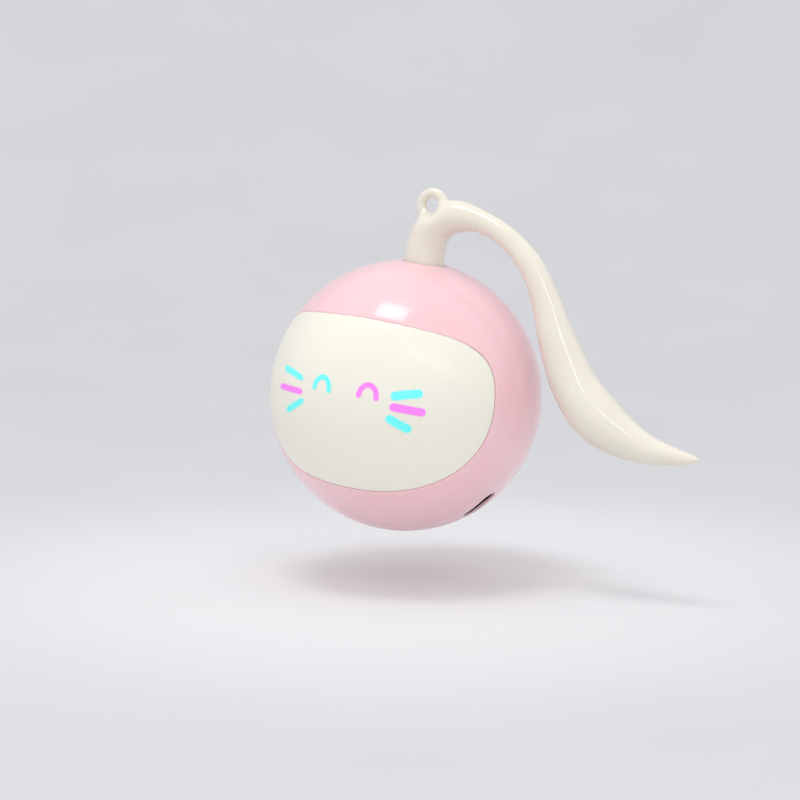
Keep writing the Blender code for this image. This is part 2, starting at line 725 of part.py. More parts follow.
def plunger_top():
    flange_top = sqrt(CAVITY_RADIUS ** 2 - BUTTON_FLANGE_RADIUS ** 2) - SEAT_GAP
    return flange_top - BUTTON_FLANGE_THICKNESS - BUTTON_STEM_LENGTH - SEAT_GAP


def switch_plunger(look):
    out = radial_frame(BUTTON_ANGLE).col[2].to_3d()
    top = plunger_top()
    foot = top - PLUNGER_SHOWN - PLUNGER_SUNK
    profile = [(PLUNGER_RADIUS, foot), (PLUNGER_RADIUS, top)]
    return turned("switch_plunger", profile, (0, 0, 0), out, 12, look)


def switch_body(look):
    top = plunger_top() - PLUNGER_SHOWN
    front = BOARD_FRONT - SEAT_GAP - SWITCH_HEIGHT
    low = (-SWITCH_WIDTH / 2, front, top - SWITCH_LENGTH)
    high = (SWITCH_WIDTH / 2, front + SWITCH_HEIGHT, top)
    body = block("switch_body", low, high, look)
    well = PLUNGER_RADIUS + SEAT_GAP
    floor = top - PLUNGER_SUNK - BUTTON_TRAVEL - SEAT_GAP
    cut = turned("well", [(well, floor), (well, FAR_SIDE)], (0, 0, 0), (0, 0, 1), 12)
    carve(body, [cut])
    body.data.transform(radial_frame(BUTTON_ANGLE))
    return body


# Gearbox

def compound_gear(name, place, wheel_layer, pinion_layer, pinion_phase, look):
    """A wheel with the next stage's pinion moulded on its front."""
    wheel = extruded(name, moved_outline(gear_outline(WHEEL_TEETH, 0), place),
                     wheel_layer, wheel_layer + FACE_WIDTH, look)
    outline = moved_outline(gear_outline(PINION_TEETH, pinion_phase), place)
    pinion = extruded("pinion", outline, pinion_layer, wheel_layer + FACE_WIDTH / 2)
    carve(wheel, [pinion], "UNION")
    bore = AXLE_RADIUS + RUNNING_CLEARANCE
    carve(wheel, [rod("bore", bore, -FAR_SIDE, FAR_SIDE, place, 16)])
    set_origin(wheel, (place[0], 0, place[1]))
    return wheel


def gear_train(look, steel):
    phase_b = meshing_phase(OUTPUT_TEETH, 0, OUTPUT_PLACE, PINION_TEETH, GEAR_B_PLACE)
    phase_a = meshing_phase(WHEEL_TEETH, 0, GEAR_B_PLACE, PINION_TEETH, GEAR_A_PLACE)
    phase_m = meshing_phase(WHEEL_TEETH, 0, GEAR_A_PLACE, PINION_TEETH, MOTOR_PLACE)
    compound_gear("gear_b", GEAR_B_PLACE, LAYER_2, LAYER_3, phase_b, look)
    compound_gear("gear_a", GEAR_A_PLACE, LAYER_1, LAYER_2, phase_a, look)
    output = extruded("output_gear", gear_outline(OUTPUT_TEETH, 0), LAYER_3,
                      LAYER_3 + FACE_WIDTH, look)
    carve(output, [rod("bore", BUSH_BORE, -FAR_SIDE, FAR_SIDE, OUTPUT_PLACE, 16)])
    outline = moved_outline(gear_outline(PINION_TEETH, phase_m), MOTOR_PLACE)
    pinion = extruded("motor_pinion", outline, LAYER_1, LAYER_1 + FACE_WIDTH, steel)
    bore = MOTOR_SHAFT_RADIUS + RUNNING_CLEARANCE
    carve(pinion, [rod("bore", bore, -FAR_SIDE, FAR_SIDE, MOTOR_PLACE, 16)])
    set_origin(pinion, (MOTOR_PLACE[0], 0, MOTOR_PLACE[1]))
    for name, place in (("gear_a_axle", GEAR_A_PLACE), ("gear_b_axle", GEAR_B_PLACE)):
        rod(name, AXLE_RADIUS, COVER_FRONT, GEARBOX_BACK, place, 12, steel)


def hull_outline(places, radius, steps):
    """The outline of a belt drawn round equal circles at the places."""
    points = []
    for i in range(steps):
        turn = 2 * pi * i / steps
        reach = max(places, key=lambda p: p[0] * cos(turn) + p[1] * sin(turn))
        point = (reach[0] + radius * cos(turn), reach[1] + radius * sin(turn))
        points.append(point)
    return points


def gearbox_plates(look, brass):
    base = extruded("gearbox_base", arc(BASE_RADIUS, 0, 2 * pi * 35 / 36, 35), BASE_FRONT,
                    GEARBOX_BACK, look)
    feet = []
    for place in STANDOFF_PLACES:
        feet.append(rod("standoff", STANDOFF_RADIUS, BOARD_BACK + SEAT_GAP,
                        GEARBOX_BACK - PLATE_THICKNESS / 2, place, 12))
    carve(base, feet, "UNION")
    cuts = []
    for place in PILLAR_PLACES:
        cuts.append(rod("notch", PILLAR_RADIUS + 2 * SEAT_GAP, 0, FAR_SIDE, place))
    cuts.append(rod("lead notch", LEAD_NOTCH_RADIUS, 0, FAR_SIDE, LEAD_NOTCH_PLACE))
    axle_hole = AXLE_RADIUS + RUNNING_CLEARANCE
    for place in (GEAR_A_PLACE, GEAR_B_PLACE):
        cuts.append(rod("axle hole", axle_hole, 0, FAR_SIDE, place, 12))
    for place in POST_PLACES + MOTOR_SCREW_PLACES + STANDOFF_PLACES:
        cuts.append(rod("screw hole", SMALL_HOLE, 0, FAR_SIDE, place, SCREW_SIDES))
    cuts.append(rod("motor hole", MOTOR_SHAFT_RADIUS + 2 * RUNNING_CLEARANCE, 0, FAR_SIDE,
                    MOTOR_PLACE, 12))
    cuts.append(rod("bush seat", BUSH_SEAT, 0, FAR_SIDE, OUTPUT_PLACE, 24))
    carve(base, cuts)
    cover = extruded("gearbox_cover", hull_outline(POST_PLACES, COVER_EDGE, 48), COVER_FRONT,
                     COVER_BACK, look)
    columns = []
    for place in POST_PLACES:
        columns.append(rod("column", POST_RADIUS, COVER_BACK - PLATE_THICKNESS / 2,
                           BASE_FRONT - SEAT_GAP, place, 16))
    carve(cover, columns, "UNION")
    cuts = [rod("shaft hole", BUSH_BORE + RUNNING_CLEARANCE, -FAR_SIDE, FAR_SIDE, OUTPUT_PLACE)]
    for place in POST_PLACES:
        cuts.append(rod("screw hole", SMALL_HOLE, -FAR_SIDE, FAR_SIDE, place, SCREW_SIDES))
    for place in (GEAR_A_PLACE, GEAR_B_PLACE):
        cuts.append(rod("axle hole", axle_hole, -FAR_SIDE, FAR_SIDE, place, 12))
    carve(cover, cuts)
    flanged_bush("rear_bush", GEARBOX_BACK - PLATE_THICKNESS, BEHIND_BASE, brass)
    flanged_bush("front_bush", FRONT_BOSS_FACE - FRONT_BUSH_LENGTH,
                 FRONT_BOSS_FACE + SEAT_GAP, brass)


def flanged_bush(name, start, flange, look):
    """A bush on the centre axis; its flange stands behind its seat."""
    profile = [
        (BUSH_RADIUS, start),
        (BUSH_RADIUS, flange),
        (BUSH_FLANGE_RADIUS, flange),
        (BUSH_FLANGE_RADIUS, flange + BUSH_FLANGE_THICKNESS),
    ]
    bush = turned(name, profile, (0, 0, 0), (0, 1, 0), 24, look)
    return carve(bush, [rod("bore", BUSH_BORE, -FAR_SIDE, FAR_SIDE, OUTPUT_PLACE)])


def screw(name, place, seat, length, radius, head_radius, head_height, look, facing=-1):
    """A pan-head screw along Y; its head stands on the facing side of the seat."""
    profile = [
        (radius * 0.5, 0),
        (radius, radius),
        (radius, length),
        (head_radius, length),
        (head_radius, length + head_height * 0.55),
        (head_radius * 0.7, length + head_height),
    ]
    tip = (place[0], seat - facing * length, place[1])
    return turned(name, profile, tip, (0, facing, 0), SCREW_SIDES, look)


MOTOR_SCREW_TURN = atan2(GEAR_A_PLACE[1] - MOTOR_PLACE[1], GEAR_A_PLACE[0]) + pi / 2
MOTOR_SCREW_PLACES = [
    (MOTOR_PLACE[0] + side * MOTOR_SCREW_OFFSET * cos(MOTOR_SCREW_TURN),
     MOTOR_PLACE[1] + side * MOTOR_SCREW_OFFSET * sin(MOTOR_SCREW_TURN)) for side in (-1, 1)]


def motor(steel, plastic, bright):
    start = BEHIND_BASE
    end = start + MOTOR_LENGTH
    place = (MOTOR_PLACE[0], 0, MOTOR_PLACE[1])
    edge = SEAT_GAP
    profile = [
        (MOTOR_RADIUS - edge, start),
        (MOTOR_RADIUS, start + edge),
        (MOTOR_RADIUS, end - edge),
        (MOTOR_RADIUS - edge, end),
    ]
    can = turned("motor_can", profile, place, (0, 1, 0), 24, steel)
    room = MOTOR_SHAFT_RADIUS + RUNNING_CLEARANCE
    cuts = [rod("shaft room", room, 0, end - 2 * edge, MOTOR_PLACE, 12)]
    for screw_place in MOTOR_SCREW_PLACES:
        cuts.append(rod("tapped hole", SMALL_HOLE, 0, start + SCREW_GRIP + edge, screw_place,
                        SCREW_SIDES))
    carve(can, cuts)
    back = end + SEAT_GAP
    cap = [
        (MOTOR_CAP_RADIUS, back),
        (MOTOR_CAP_RADIUS, back + MOTOR_CAP_LENGTH * MOTOR_CAP_STEP_SHARE),
        (MOTOR_CAP_RADIUS * MOTOR_CAP_HUB_SHARE, back + MOTOR_CAP_LENGTH * MOTOR_CAP_STEP_SHARE),
        (MOTOR_CAP_RADIUS * MOTOR_CAP_HUB_SHARE, back + MOTOR_CAP_LENGTH),
    ]
    turned("motor_end_cap", cap, place, (0, 1, 0), 24, plastic)
    shaft = rod("motor_shaft", MOTOR_SHAFT_RADIUS, LAYER_1 - SEAT_GAP, end - 3 * edge,
                MOTOR_PLACE, 12, bright)
    set_origin(shaft, place)


def swinging_weight(zinc, bright, dark):
    shaft_front = FRONT_BOSS_FACE - FRONT_BUSH_LENGTH + SEAT_GAP
    shaft_back = BEHIND_BASE + BUSH_FLANGE_THICKNESS
    rod("output_shaft", OUTPUT_SHAFT_RADIUS, shaft_front, shaft_back, OUTPUT_PLACE, 16, bright)
    down = -pi / 2
    outline = arc(WEIGHT_RADIUS, down - WEIGHT_HALF_ANGLE, down + WEIGHT_HALF_ANGLE, 24)
    outline += arc(WEIGHT_HUB_RADIUS, down + WEIGHT_HALF_ANGLE, down - WEIGHT_HALF_ANGLE + 2 * pi, 12)
    weight = extruded("swing_weight", outline, WEIGHT_FRONT, WEIGHT_FRONT + WEIGHT_THICKNESS, zinc)
    rounded(weight, WEIGHT_BEVEL, 1)
    middle = WEIGHT_FRONT + WEIGHT_THICKNESS / 2
    bore = rod("bore", BUSH_BORE, -FAR_SIDE, FAR_SIDE, OUTPUT_PLACE, 16)
    tapped = turned("tapped", [(SMALL_HOLE, 0), (SMALL_HOLE, FAR_SIDE)], (0, middle, 0),
                    (0, 0, 1), SCREW_SIDES)
    carve(weight, [bore, tapped])
    foot = OUTPUT_SHAFT_RADIUS + SEAT_GAP
    turned("weight_screw", [(SMALL_SCREW_RADIUS, foot), (SMALL_SCREW_RADIUS, WEIGHT_HUB_RADIUS)],
           (0, middle, 0), (0, 0, 1), SCREW_SIDES, dark)


# Battery, board and leads

BATTERY_FRONT = BEHIND_BASE + PAD_THICKNESS + SEAT_GAP


def battery_and_pad(silver, foam):
    half = BATTERY_LENGTH / 2
    foot = BATTERY_TOP - BATTERY_HEIGHT
    cell = block("battery", (-half, BATTERY_FRONT, foot),
                 (half, BATTERY_FRONT + BATTERY_THICKNESS, BATTERY_TOP), silver)
    rounded(cell, BATTERY_THICKNESS * BATTERY_EDGE_SHARE)
    top = -BUSH_FLANGE_RADIUS - SEAT_GAP
    reach = half * PAD_WIDTH_SHARE
    block("battery_pad", (-reach, BEHIND_BASE, foot + PAD_INSET),
          (reach, BEHIND_BASE + PAD_THICKNESS, top), foam)


def board_outline():
    """A segment of a circle below a chord, with its left end cut straight."""
    right = -pi / 2 + acos(-BOARD_TOP / BOARD_RADIUS)
    left = -acos(BOARD_LEFT / BOARD_RADIUS)
    return arc(BOARD_RADIUS, left, right, 24) + [(BOARD_LEFT, BOARD_TOP)]


def circuit_board(look, black, amber, silver, white):
    board = extruded("circuit_board", board_outline(), BOARD_FRONT, BOARD_BACK, look)
    cuts = [rod("hole", SMALL_HOLE, 0, FAR_SIDE, place, SCREW_SIDES) for place in STANDOFF_PLACES]
    for place in PILLAR_PLACES:
        cuts.append(rod("notch", PILLAR_RADIUS + 2 * SEAT_GAP, 0, FAR_SIDE, place))
    for place in POST_PLACES:
        cuts.append(rod("notch", POST_RADIUS + 2 * SEAT_GAP, 0, FAR_SIDE, place))
    carve(board, cuts)
    face = BOARD_FRONT - SEAT_GAP
    chips = (
        ("controller_chip", CONTROLLER_SIZE, CONTROLLER_PLACE, CHIP_HEIGHT, black),
        ("charger_chip", CHARGER_SIZE, CHARGER_PLACE, CHIP_HEIGHT, black),
        ("indicator_led", LED_SIZE, LED_PLACE, LED_HEIGHT, amber),
    )
    for name, size, place, height, chip_look in chips:
        low = (place[0] - size[0] / 2, face - height, place[1] - size[1] / 2)
        high = (place[0] + size[0] / 2, face, place[1] + size[1] / 2)
        block(name, low, high, chip_look)
    x, z = SENSOR_PLACE
    half = SENSOR_LENGTH / 2
    turned("vibration_sensor", [(SENSOR_RADIUS, -half), (SENSOR_RADIUS, half)],
           (x, face - SENSOR_RADIUS, z), (1, 0, 0), 16, white)


def usb_receptacle(steel, plastic):
    mouth = PORT_FLOOR
    back = mouth - USB_LENGTH
    shell = stadium_bar("usb_shell", USB_WIDTH, USB_HEIGHT, back, mouth, PORT_ANGLE, steel, 6)
    wall = 2 * USB_WALL
    room = stadium_bar("room", USB_WIDTH - wall, USB_HEIGHT - wall, back - SEAT_GAP, FAR_SIDE,
                       PORT_ANGLE, None, 6)
    carve(shell, [room])
    gap = 2 * SEAT_GAP + wall
    tongue = stadium_bar("usb_tongue", USB_WIDTH - gap, USB_HEIGHT - gap, back,
                         back + USB_BACK, PORT_ANGLE, plastic, 6)
    blade = block("blade", (-TONGUE_WIDTH / 2, -TONGUE_HEIGHT / 2, back + USB_BACK / 2),
                  (TONGUE_WIDTH / 2, TONGUE_HEIGHT / 2, back + USB_BACK + TONGUE_LENGTH))
    blade.data.transform(radial_frame(PORT_ANGLE))
    carve(tongue, [blade], "UNION")


def port_seal(look):
    """A rubber ring in the port's mouth that keeps dust off the receptacle."""
    length, width = PORT_LENGTH - 2 * SEAT_GAP, PORT_WIDTH - 2 * SEAT_GAP
    top = BALL_RADIUS - SEAL_RECESS
    foot = top - SEAL_DEPTH
    ring = stadium_bar("port_seal", length, width, foot, top, PORT_ANGLE, look)
    wall = 2 * SEAL_WALL
    room = stadium_bar("room", length - wall, width - wall, foot - SEAT_GAP, FAR_SIDE, PORT_ANGLE)
    return carve(ring, [room])


def lead(name, points, look):
    """A wire along a smooth curve through its points."""
    path = smooth_path([Vector(p) for p in points], LEAD_STEPS)
    curve = bpy.data.curves.new(name, "CURVE")
    curve.dimensions = "3D"
    curve.bevel_depth = LEAD_RADIUS
    curve.bevel_resolution = 1
    curve.use_fill_caps = True
    line = curve.splines.new("POLY")
    line.points.add(len(path) - 1)
    for point, place in zip(line.points, path):
        point.co = (*place, 1)
    curve.materials.append(look)
    item = bpy.data.objects.new(name, curve)
    bpy.context.collection.objects.link(item)


def route(stations, shares):
    """The stations, each moved by its share of the lead pitch."""
    return [Vector(station) + Vector(share) * LEAD_PITCH for station, share in zip(stations, shares)]


def leads(red, black):
    x0, notch = LEAD_NOTCH_PLACE
    upper, lower = LEAD_DROP_SHARES
    end = BOARD_BACK + SEAT_GAP
    back = BATTERY_FRONT + BATTERY_THICKNESS
    middle = BATTERY_FRONT + BATTERY_THICKNESS / 2
    foot = BATTERY_TOP - BATTERY_HEIGHT
    cap = BEHIND_BASE + MOTOR_LENGTH + SEAT_GAP + MOTOR_CAP_LENGTH * MOTOR_CAP_STEP_SHARE + SEAT_GAP
    for k, (colour, look) in enumerate((("red", red), ("black", black))):
        x = x0 + LEAD_SPREAD_SHARES[k] * LEAD_PITCH
        start = MOTOR_TERMINAL + LEAD_PITCH * k
        stations = (
            (start, cap, MOTOR_HEIGHT),
            (start, cap, MOTOR_HEIGHT),
            (x, back, 0),
            (x, back, foot * upper),
            (x, back, foot * lower),
            (x, back, foot),
            (x, BEHIND_BASE, notch),
            (x, BASE_FRONT, notch),
            (x, end, LEAD_END),
            (x, end, LEAD_END),
        )
        lead("motor_lead_" + colour, route(stations, MOTOR_LEAD_SHARES), look)
        x = x0 + LEAD_SPREAD_SHARES[k + 2] * LEAD_PITCH
        stations = (
            (x, middle, foot - SEAT_GAP),
            (x, middle, foot - SEAT_GAP),
            (x, BATTERY_FRONT, foot - SEAT_GAP),
            (x, BEHIND_BASE, notch),
            (x, BASE_FRONT, notch),
            (x, end, LEAD_END),
            (x, end, LEAD_END),
        )
        lead("battery_lead_" + colour, route(stations, BATTERY_LEAD_SHARES), look)


def fasteners(steel, dark):
    for k, place in enumerate(PILLAR_PLACES, 1):
        screw(f"shell_screw_{k}", place, SHELL_SCREW_SEAT + SEAT_GAP, SHELL_SCREW_LENGTH,
              SHELL_SCREW_RADIUS, SHELL_HEAD_RADIUS, SHELL_HEAD_HEIGHT, steel, 1)
    length = BEHIND_BASE + POST_PILOT_DEPTH - COVER_FRONT - 2 * SEAT_GAP
    for k, place in enumerate(POST_PLACES, 1):
        screw(f"gearbox_screw_{k}", place, COVER_FRONT - SEAT_GAP, length, SMALL_SCREW_RADIUS,
              SMALL_HEAD_RADIUS, SMALL_HEAD_HEIGHT, dark)
    for k, place in enumerate(MOTOR_SCREW_PLACES, 1):
        screw(f"motor_screw_{k}", place, BASE_FRONT - SEAT_GAP,
              PLATE_THICKNESS + 2 * SEAT_GAP + SCREW_GRIP, SMALL_SCREW_RADIUS,
              SMALL_HEAD_RADIUS, SMALL_HEAD_HEIGHT, dark)
    for k, place in enumerate(STANDOFF_PLACES, 1):
        length = GEARBOX_BACK - BOARD_FRONT
        screw(f"board_screw_{k}", place, BOARD_FRONT - SEAT_GAP, length, SMALL_SCREW_RADIUS,
              SMALL_HEAD_RADIUS, SMALL_HEAD_HEIGHT, dark)


def main():
    clear_scene()
    pink = material("pink silicone", "F4CBD0", 0.28)
    cream = material("cream abs", "F1EEE2", 0.22)
    cream_soft = material("cream silicone", "EFE9DA", 0.3)
    white = material("white pom", "E8E6DE", 0.45)
    grey = material("grey abs", "B9BCC0", 0.5)
    steel = material("steel", "C9CBCE", 0.3, 1.0)
    dark = material("black steel", "3A3B3F", 0.35, 1.0)
    brass = material("brass", "C9A455", 0.3, 1.0)
    zinc = material("zinc", "A4A8AC", 0.45, 1.0)
    green = material("green board", "1F6B45", 0.4)
    black = material("black plastic", "202124", 0.5)
    rubber = material("black rubber", "1A1A1C", 0.8)
    amber = material("amber lens", "F0B060", 0.2)
    foil = material("battery foil", "C4C8CC", 0.35, 0.6)
    foam = material("grey foam", "8E9094", 0.9)
    red = material("red lead", "C8322E", 0.4)
    jacket(pink)
    half_shell("front", cream)
    half_shell("rear", cream)
    tail(cream_soft)
    tail_stem(white)
    power_button(cream_soft)
    switch_plunger(black)
    switch_body(steel)
    gear_train(white, brass)
    gearbox_plates(grey, brass)
    motor(steel, white, dark)
    swinging_weight(zinc, steel, dark)
    battery_and_pad(foil, foam)
    circuit_board(green, black, amber, foil, white)
    usb_receptacle(steel, black)
    port_seal(rubber)
    leads(red, black)
    fasteners(steel, dark)


main()
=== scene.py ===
"""Self rolling cat ball: the dressed model, its finishes and its studio.

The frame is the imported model. New pieces are modelled over it in the same
coordinates: the origin is the ball's centre, +Z runs up the tail's socket, -Y is
the face and +X is the side that the tail falls to.
"""
from math import acos, atan2, cos, pi, radians, sin, sqrt, tanh

import bpy
import bmesh
from bpy.props import FloatProperty, IntProperty, PointerProperty, StringProperty
from mathutils import Matrix, Vector


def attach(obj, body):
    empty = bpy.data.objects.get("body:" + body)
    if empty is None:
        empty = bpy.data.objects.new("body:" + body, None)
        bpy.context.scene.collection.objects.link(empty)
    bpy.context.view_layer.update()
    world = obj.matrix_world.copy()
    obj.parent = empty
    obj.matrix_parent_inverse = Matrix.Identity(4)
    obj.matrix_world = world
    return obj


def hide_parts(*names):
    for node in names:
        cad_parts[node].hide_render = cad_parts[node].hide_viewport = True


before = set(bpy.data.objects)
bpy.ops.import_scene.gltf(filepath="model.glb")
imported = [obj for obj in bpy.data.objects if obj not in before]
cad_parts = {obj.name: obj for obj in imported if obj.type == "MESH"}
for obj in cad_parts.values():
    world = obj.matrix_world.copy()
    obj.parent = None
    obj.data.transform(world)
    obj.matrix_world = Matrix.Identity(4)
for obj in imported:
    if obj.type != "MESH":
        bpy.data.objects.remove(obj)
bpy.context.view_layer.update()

bl_info = {
    "name": "Self rolling cat ball",
    "version": (1, 0, 0),
    "blender": (4, 5, 0),
    "location": "View3D > Sidebar > Cat ball",
    "description": "Dresses a self rolling cat ball: silicone skin, face panel, print, tail and studio",
    "category": "Object",
}

MM = 0.001
ON_EDGE = (pi / 2, 0, 0)  # turns a primitive's axis from Z to Y


# Sizes and colours that a user would change

class CatBallSizes(bpy.types.PropertyGroup):
    radius: FloatProperty(name="Ball radius", description="Outside of the silicone skin",
                          default=0.030, unit="LENGTH")
    skin: FloatProperty(name="Skin wall", description="Thickness of the silicone skin",
                        default=0.0015, unit="LENGTH")
    lip: FloatProperty(name="Lip rounding", description="Rounding of the skin's edges",
                       default=0.00028, unit="LENGTH")
    panel_radius: FloatProperty(name="Panel radius", description="Outside of the face panel",
                                default=0.02992, unit="LENGTH")
    panel_foot: FloatProperty(name="Panel foot", description="Radius where the panel's side ends",
                              default=0.0286, unit="LENGTH")
    panel_gap: FloatProperty(name="Panel gap", description="Gap between the panel and the skin",
                             default=0.00018, unit="LENGTH")
    panel_edge: FloatProperty(name="Panel edge", description="Rounding of the panel's edge",
                              default=0.00022, unit="LENGTH")
    half_width: FloatProperty(name="Window half width", description="Seen from the ball's centre",
                              default=radians(67.5), subtype="ANGLE")
    top: FloatProperty(name="Window top", description="Latitude of the window's top",
                       default=radians(37.9), subtype="ANGLE")
    bottom: FloatProperty(name="Window bottom", description="Latitude of the window's bottom",
                          default=radians(-38.8), subtype="ANGLE")
    widest: FloatProperty(name="Window widest", description="Latitude where it is widest",
                          default=radians(10.5), subtype="ANGLE")
    square_top: FloatProperty(name="Upper squareness", description="Exponent of the upper outline",
                              default=3.0)
    square_bottom: FloatProperty(name="Lower squareness",
                                 description="Exponent of the lower outline", default=2.42)
    sag: FloatProperty(name="Sag", description="Sag of the top edge on either side of the middle",
                       default=radians(1.65), subtype="ANGLE")
    sag_skew: FloatProperty(name="Sag skew", description="How much more it sags on the left",
                            default=radians(0.65), subtype="ANGLE")
    port_angle: FloatProperty(name="Port angle", description="Place of the charging port on the rim",
                              default=radians(-43.5), subtype="ANGLE")
    port_length: FloatProperty(name="Port length", description="Length of the port's slot",
                               default=0.0089, unit="LENGTH")
    port_width: FloatProperty(name="Port width", description="Width of the port's slot",
                              default=0.0042, unit="LENGTH")
    button_angle: FloatProperty(name="Button angle", description="Place of the button on the rim",
                                default=radians(-120.0), subtype="ANGLE")
    button_hole: FloatProperty(name="Button hole", description="Radius of the skin's hole",
                               default=0.0033, unit="LENGTH")
    button_radius: FloatProperty(name="Button radius", description="Radius of the button",
                                 default=0.0030, unit="LENGTH")
    button_proud: FloatProperty(name="Button proud", description="Height over the skin",
                                default=0.0002, unit="LENGTH")
    button_flange: FloatProperty(name="Button flange", description="Radius of the hidden flange",
                                 default=0.0042, unit="LENGTH")
    button_flange_wall: FloatProperty(name="Flange wall", description="Thickness of the flange",
                                      default=0.0012, unit="LENGTH")
    button_seat: FloatProperty(name="Button seat", description="Radius where the flange seats",
                               default=0.02556, unit="LENGTH")
    hover: FloatProperty(name="Hover", description="Ball's lowest point over the studio floor",
                         default=0.011, unit="LENGTH")
    tail_hole: FloatProperty(name="Tail hole", description="Radius of the skin's hole for the tail",
                             default=0.0048, unit="LENGTH")
    sides: IntProperty(name="Sides", description="Points round the window", default=192)
    rings: IntProperty(name="Rings", description="Rings from the window to the far side",
                       default=72)


class CatTailSizes(bpy.types.PropertyGroup):
    reach: FloatProperty(name="Reach", description="Ball axis to the tail's tip",
                         default=0.0702, unit="LENGTH")
    rise: FloatProperty(name="Rise", description="Ball centre to the top of the tail's arch",
                        default=0.0412, unit="LENGTH")
    swell: FloatProperty(name="Swell radius", description="Radius where the tail is thickest",
                         default=0.0053, unit="LENGTH")
    base: FloatProperty(name="Base radius", description="Radius where it leaves the ball",
                        default=0.0045, unit="LENGTH")
    foot: FloatProperty(name="Foot height", description="Height of the tail's flat foot",
                        default=0.0285, unit="LENGTH")
    loop_radius: FloatProperty(name="Loop radius", description="Outside of the loop",
                               default=0.00385, unit="LENGTH")
    loop_hole: FloatProperty(name="Loop hole", description="Radius of the loop's hole",
                             default=0.0016, unit="LENGTH")
    bore: FloatProperty(name="Stem bore", description="Radius of the bore for the stem",
                        default=0.0023, unit="LENGTH")
    bore_depth: FloatProperty(name="Bore depth", description="Depth of the bore for the stem",
                              default=0.0090, unit="LENGTH")
    blend: FloatProperty(name="Blend", description="Reach of the softening beside the loop",
                         default=0.0060, unit="LENGTH")
    voxel: FloatProperty(name="Grid", description="Grid that melts the loop into the tail",
                         default=0.00025, unit="LENGTH")


class CatBallLooks(bpy.types.PropertyGroup):
    skin: StringProperty(name="Skin", description="Pink silicone", default="#F2CAD2")
    panel: StringProperty(name="Panel", description="Cream moulded plastic", default="#EFECDF")
    tail: StringProperty(name="Tail", description="Cream silicone", default="#E7E2D5")
    cyan: StringProperty(name="Cyan", description="Cyan pad print", default="#78FFFE")
    magenta: StringProperty(name="Magenta", description="Magenta pad print", default="#FF8CFA")
    floor: StringProperty(name="Floor", description="Floor and backdrop", default="#D0D0D4")
    # Colour of the painted pool of light on the floor under the object
    pool: StringProperty(name="Pool", description="Floor right under the object", default="#E2E3E6")


# Shared helpers

def sizes():
    return bpy.context.scene.cat_ball_sizes


def tail_sizes():
    return bpy.context.scene.cat_tail_sizes


def looks():
    return bpy.context.scene.cat_ball_looks


def linear(hex_colour):
    """An sRGB hex colour as linear RGBA."""
    out = []
    for i in (1, 3, 5):
        c = int(hex_colour[i:i + 2], 16) / 255
        out.append(c / 12.92 if c <= 0.04045 else ((c + 0.055) / 1.055) ** 2.4)
    return (*out, 1.0)


def clear_selection():
    if bpy.context.object and bpy.context.object.mode != "OBJECT":
        bpy.ops.object.mode_set(mode="OBJECT")
    bpy.ops.object.select_all(action="DESELECT")


def named(name):
    """The object that an operator has just added, under its own name."""
    item = bpy.context.object
    item.name = name
    item.data.name = name
    return item


def only(item):
    """Select one object alone and make it the active one."""
    clear_selection()
    item.select_set(True)
    bpy.context.view_layer.objects.active = item


def settle(item):
    """Bake an object's place into its mesh."""
    only(item)
    bpy.ops.object.transform_apply(location=True, rotation=True, scale=True)


def edit_all(item):
    """Open an object's mesh in edit mode with all of it selected."""
    bpy.context.view_layer.objects.active = item
    bpy.ops.object.mode_set(mode="EDIT")
    bpy.ops.mesh.select_all(action="SELECT")


def open_circle(name, sides, radius, place=(0, 0, 0), turned=(0, 0, 0), fill="NGON"):
    """Add a circle and open it in edit mode with all of it selected."""
    clear_selection()
    bpy.ops.mesh.primitive_circle_add(vertices=sides, radius=radius, location=place, rotation=turned,
                                      fill_type=fill)
    item = named(name)
    settle(item)
    edit_all(item)
    return item


def finish_modifiers(item):
    """Apply all of an object's modifiers, in their order."""
    only(item)
    for modifier in list(item.modifiers):
        bpy.ops.object.modifier_apply(modifier=modifier.name)


def cut(item, cutter, operation="DIFFERENCE"):
    """Cut an object with a cutter, or join the two, and remove the cutter."""
    boolean = item.modifiers.new("cut", "BOOLEAN")
    boolean.operation = operation
    boolean.solver = "EXACT"
    boolean.object = cutter
    finish_modifiers(item)
    bpy.data.objects.remove(cutter, do_unlink=True)


def give_wall(item, thickness, offset, even=False):
    """Give an open sheet a thickness: offset -1 grows it inward and 1 outward."""
    solid = item.modifiers.new("wall", "SOLIDIFY")
    solid.thickness = thickness
    solid.offset = offset
    solid.use_even_offset = even
    finish_modifiers(item)


def outward(item):
    """Merge a mesh's doubled points and turn its faces outwards."""
    only(item)
    edit_all(item)
    bpy.ops.mesh.remove_doubles(threshold=0.002 * MM)
    bpy.ops.mesh.normals_make_consistent(inside=False)
    bpy.ops.object.mode_set(mode="OBJECT")


def face_away(item, index):
    """Flip an open sheet's faces where the face of an index looks at the ball's centre."""
    face = item.data.polygons[index]
    if face.normal.dot(face.center) < 0:
        item.data.flip_normals()


def smooth(item, angle):
    """Shade an object smooth, but for edges sharper than an angle in degrees."""
    only(item)
    bpy.ops.object.shade_smooth_by_angle(angle=radians(angle))


def dress(item, material, body):
    """Give a piece its finish, the body that it rides on and the slot of its finish."""
    item.data.materials.clear()
    item.data.materials.append(material)
    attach(item, body)


def move_selected(item, place):
    """Move each selected point of a mesh in edit mode to place(point)."""
    mesh = bmesh.from_edit_mesh(item.data)
    for vertex in mesh.verts:
        if vertex.select:
            vertex.co = place(vertex.co)
    bmesh.update_edit_mesh(item.data)


def select_beside(item, centre, reach, thickness):
    """Select the points of a mesh in edit mode that lie within reach of a place,
    on either side of a slab of a thickness along Y."""
    mesh = bmesh.from_edit_mesh(item.data)
    for vertex in mesh.verts:
        away = vertex.co - centre
        vertex.select_set(away.length < reach and abs(away.y) > thickness / 2)
    mesh.select_flush_mode()
    bmesh.update_edit_mesh(item.data)


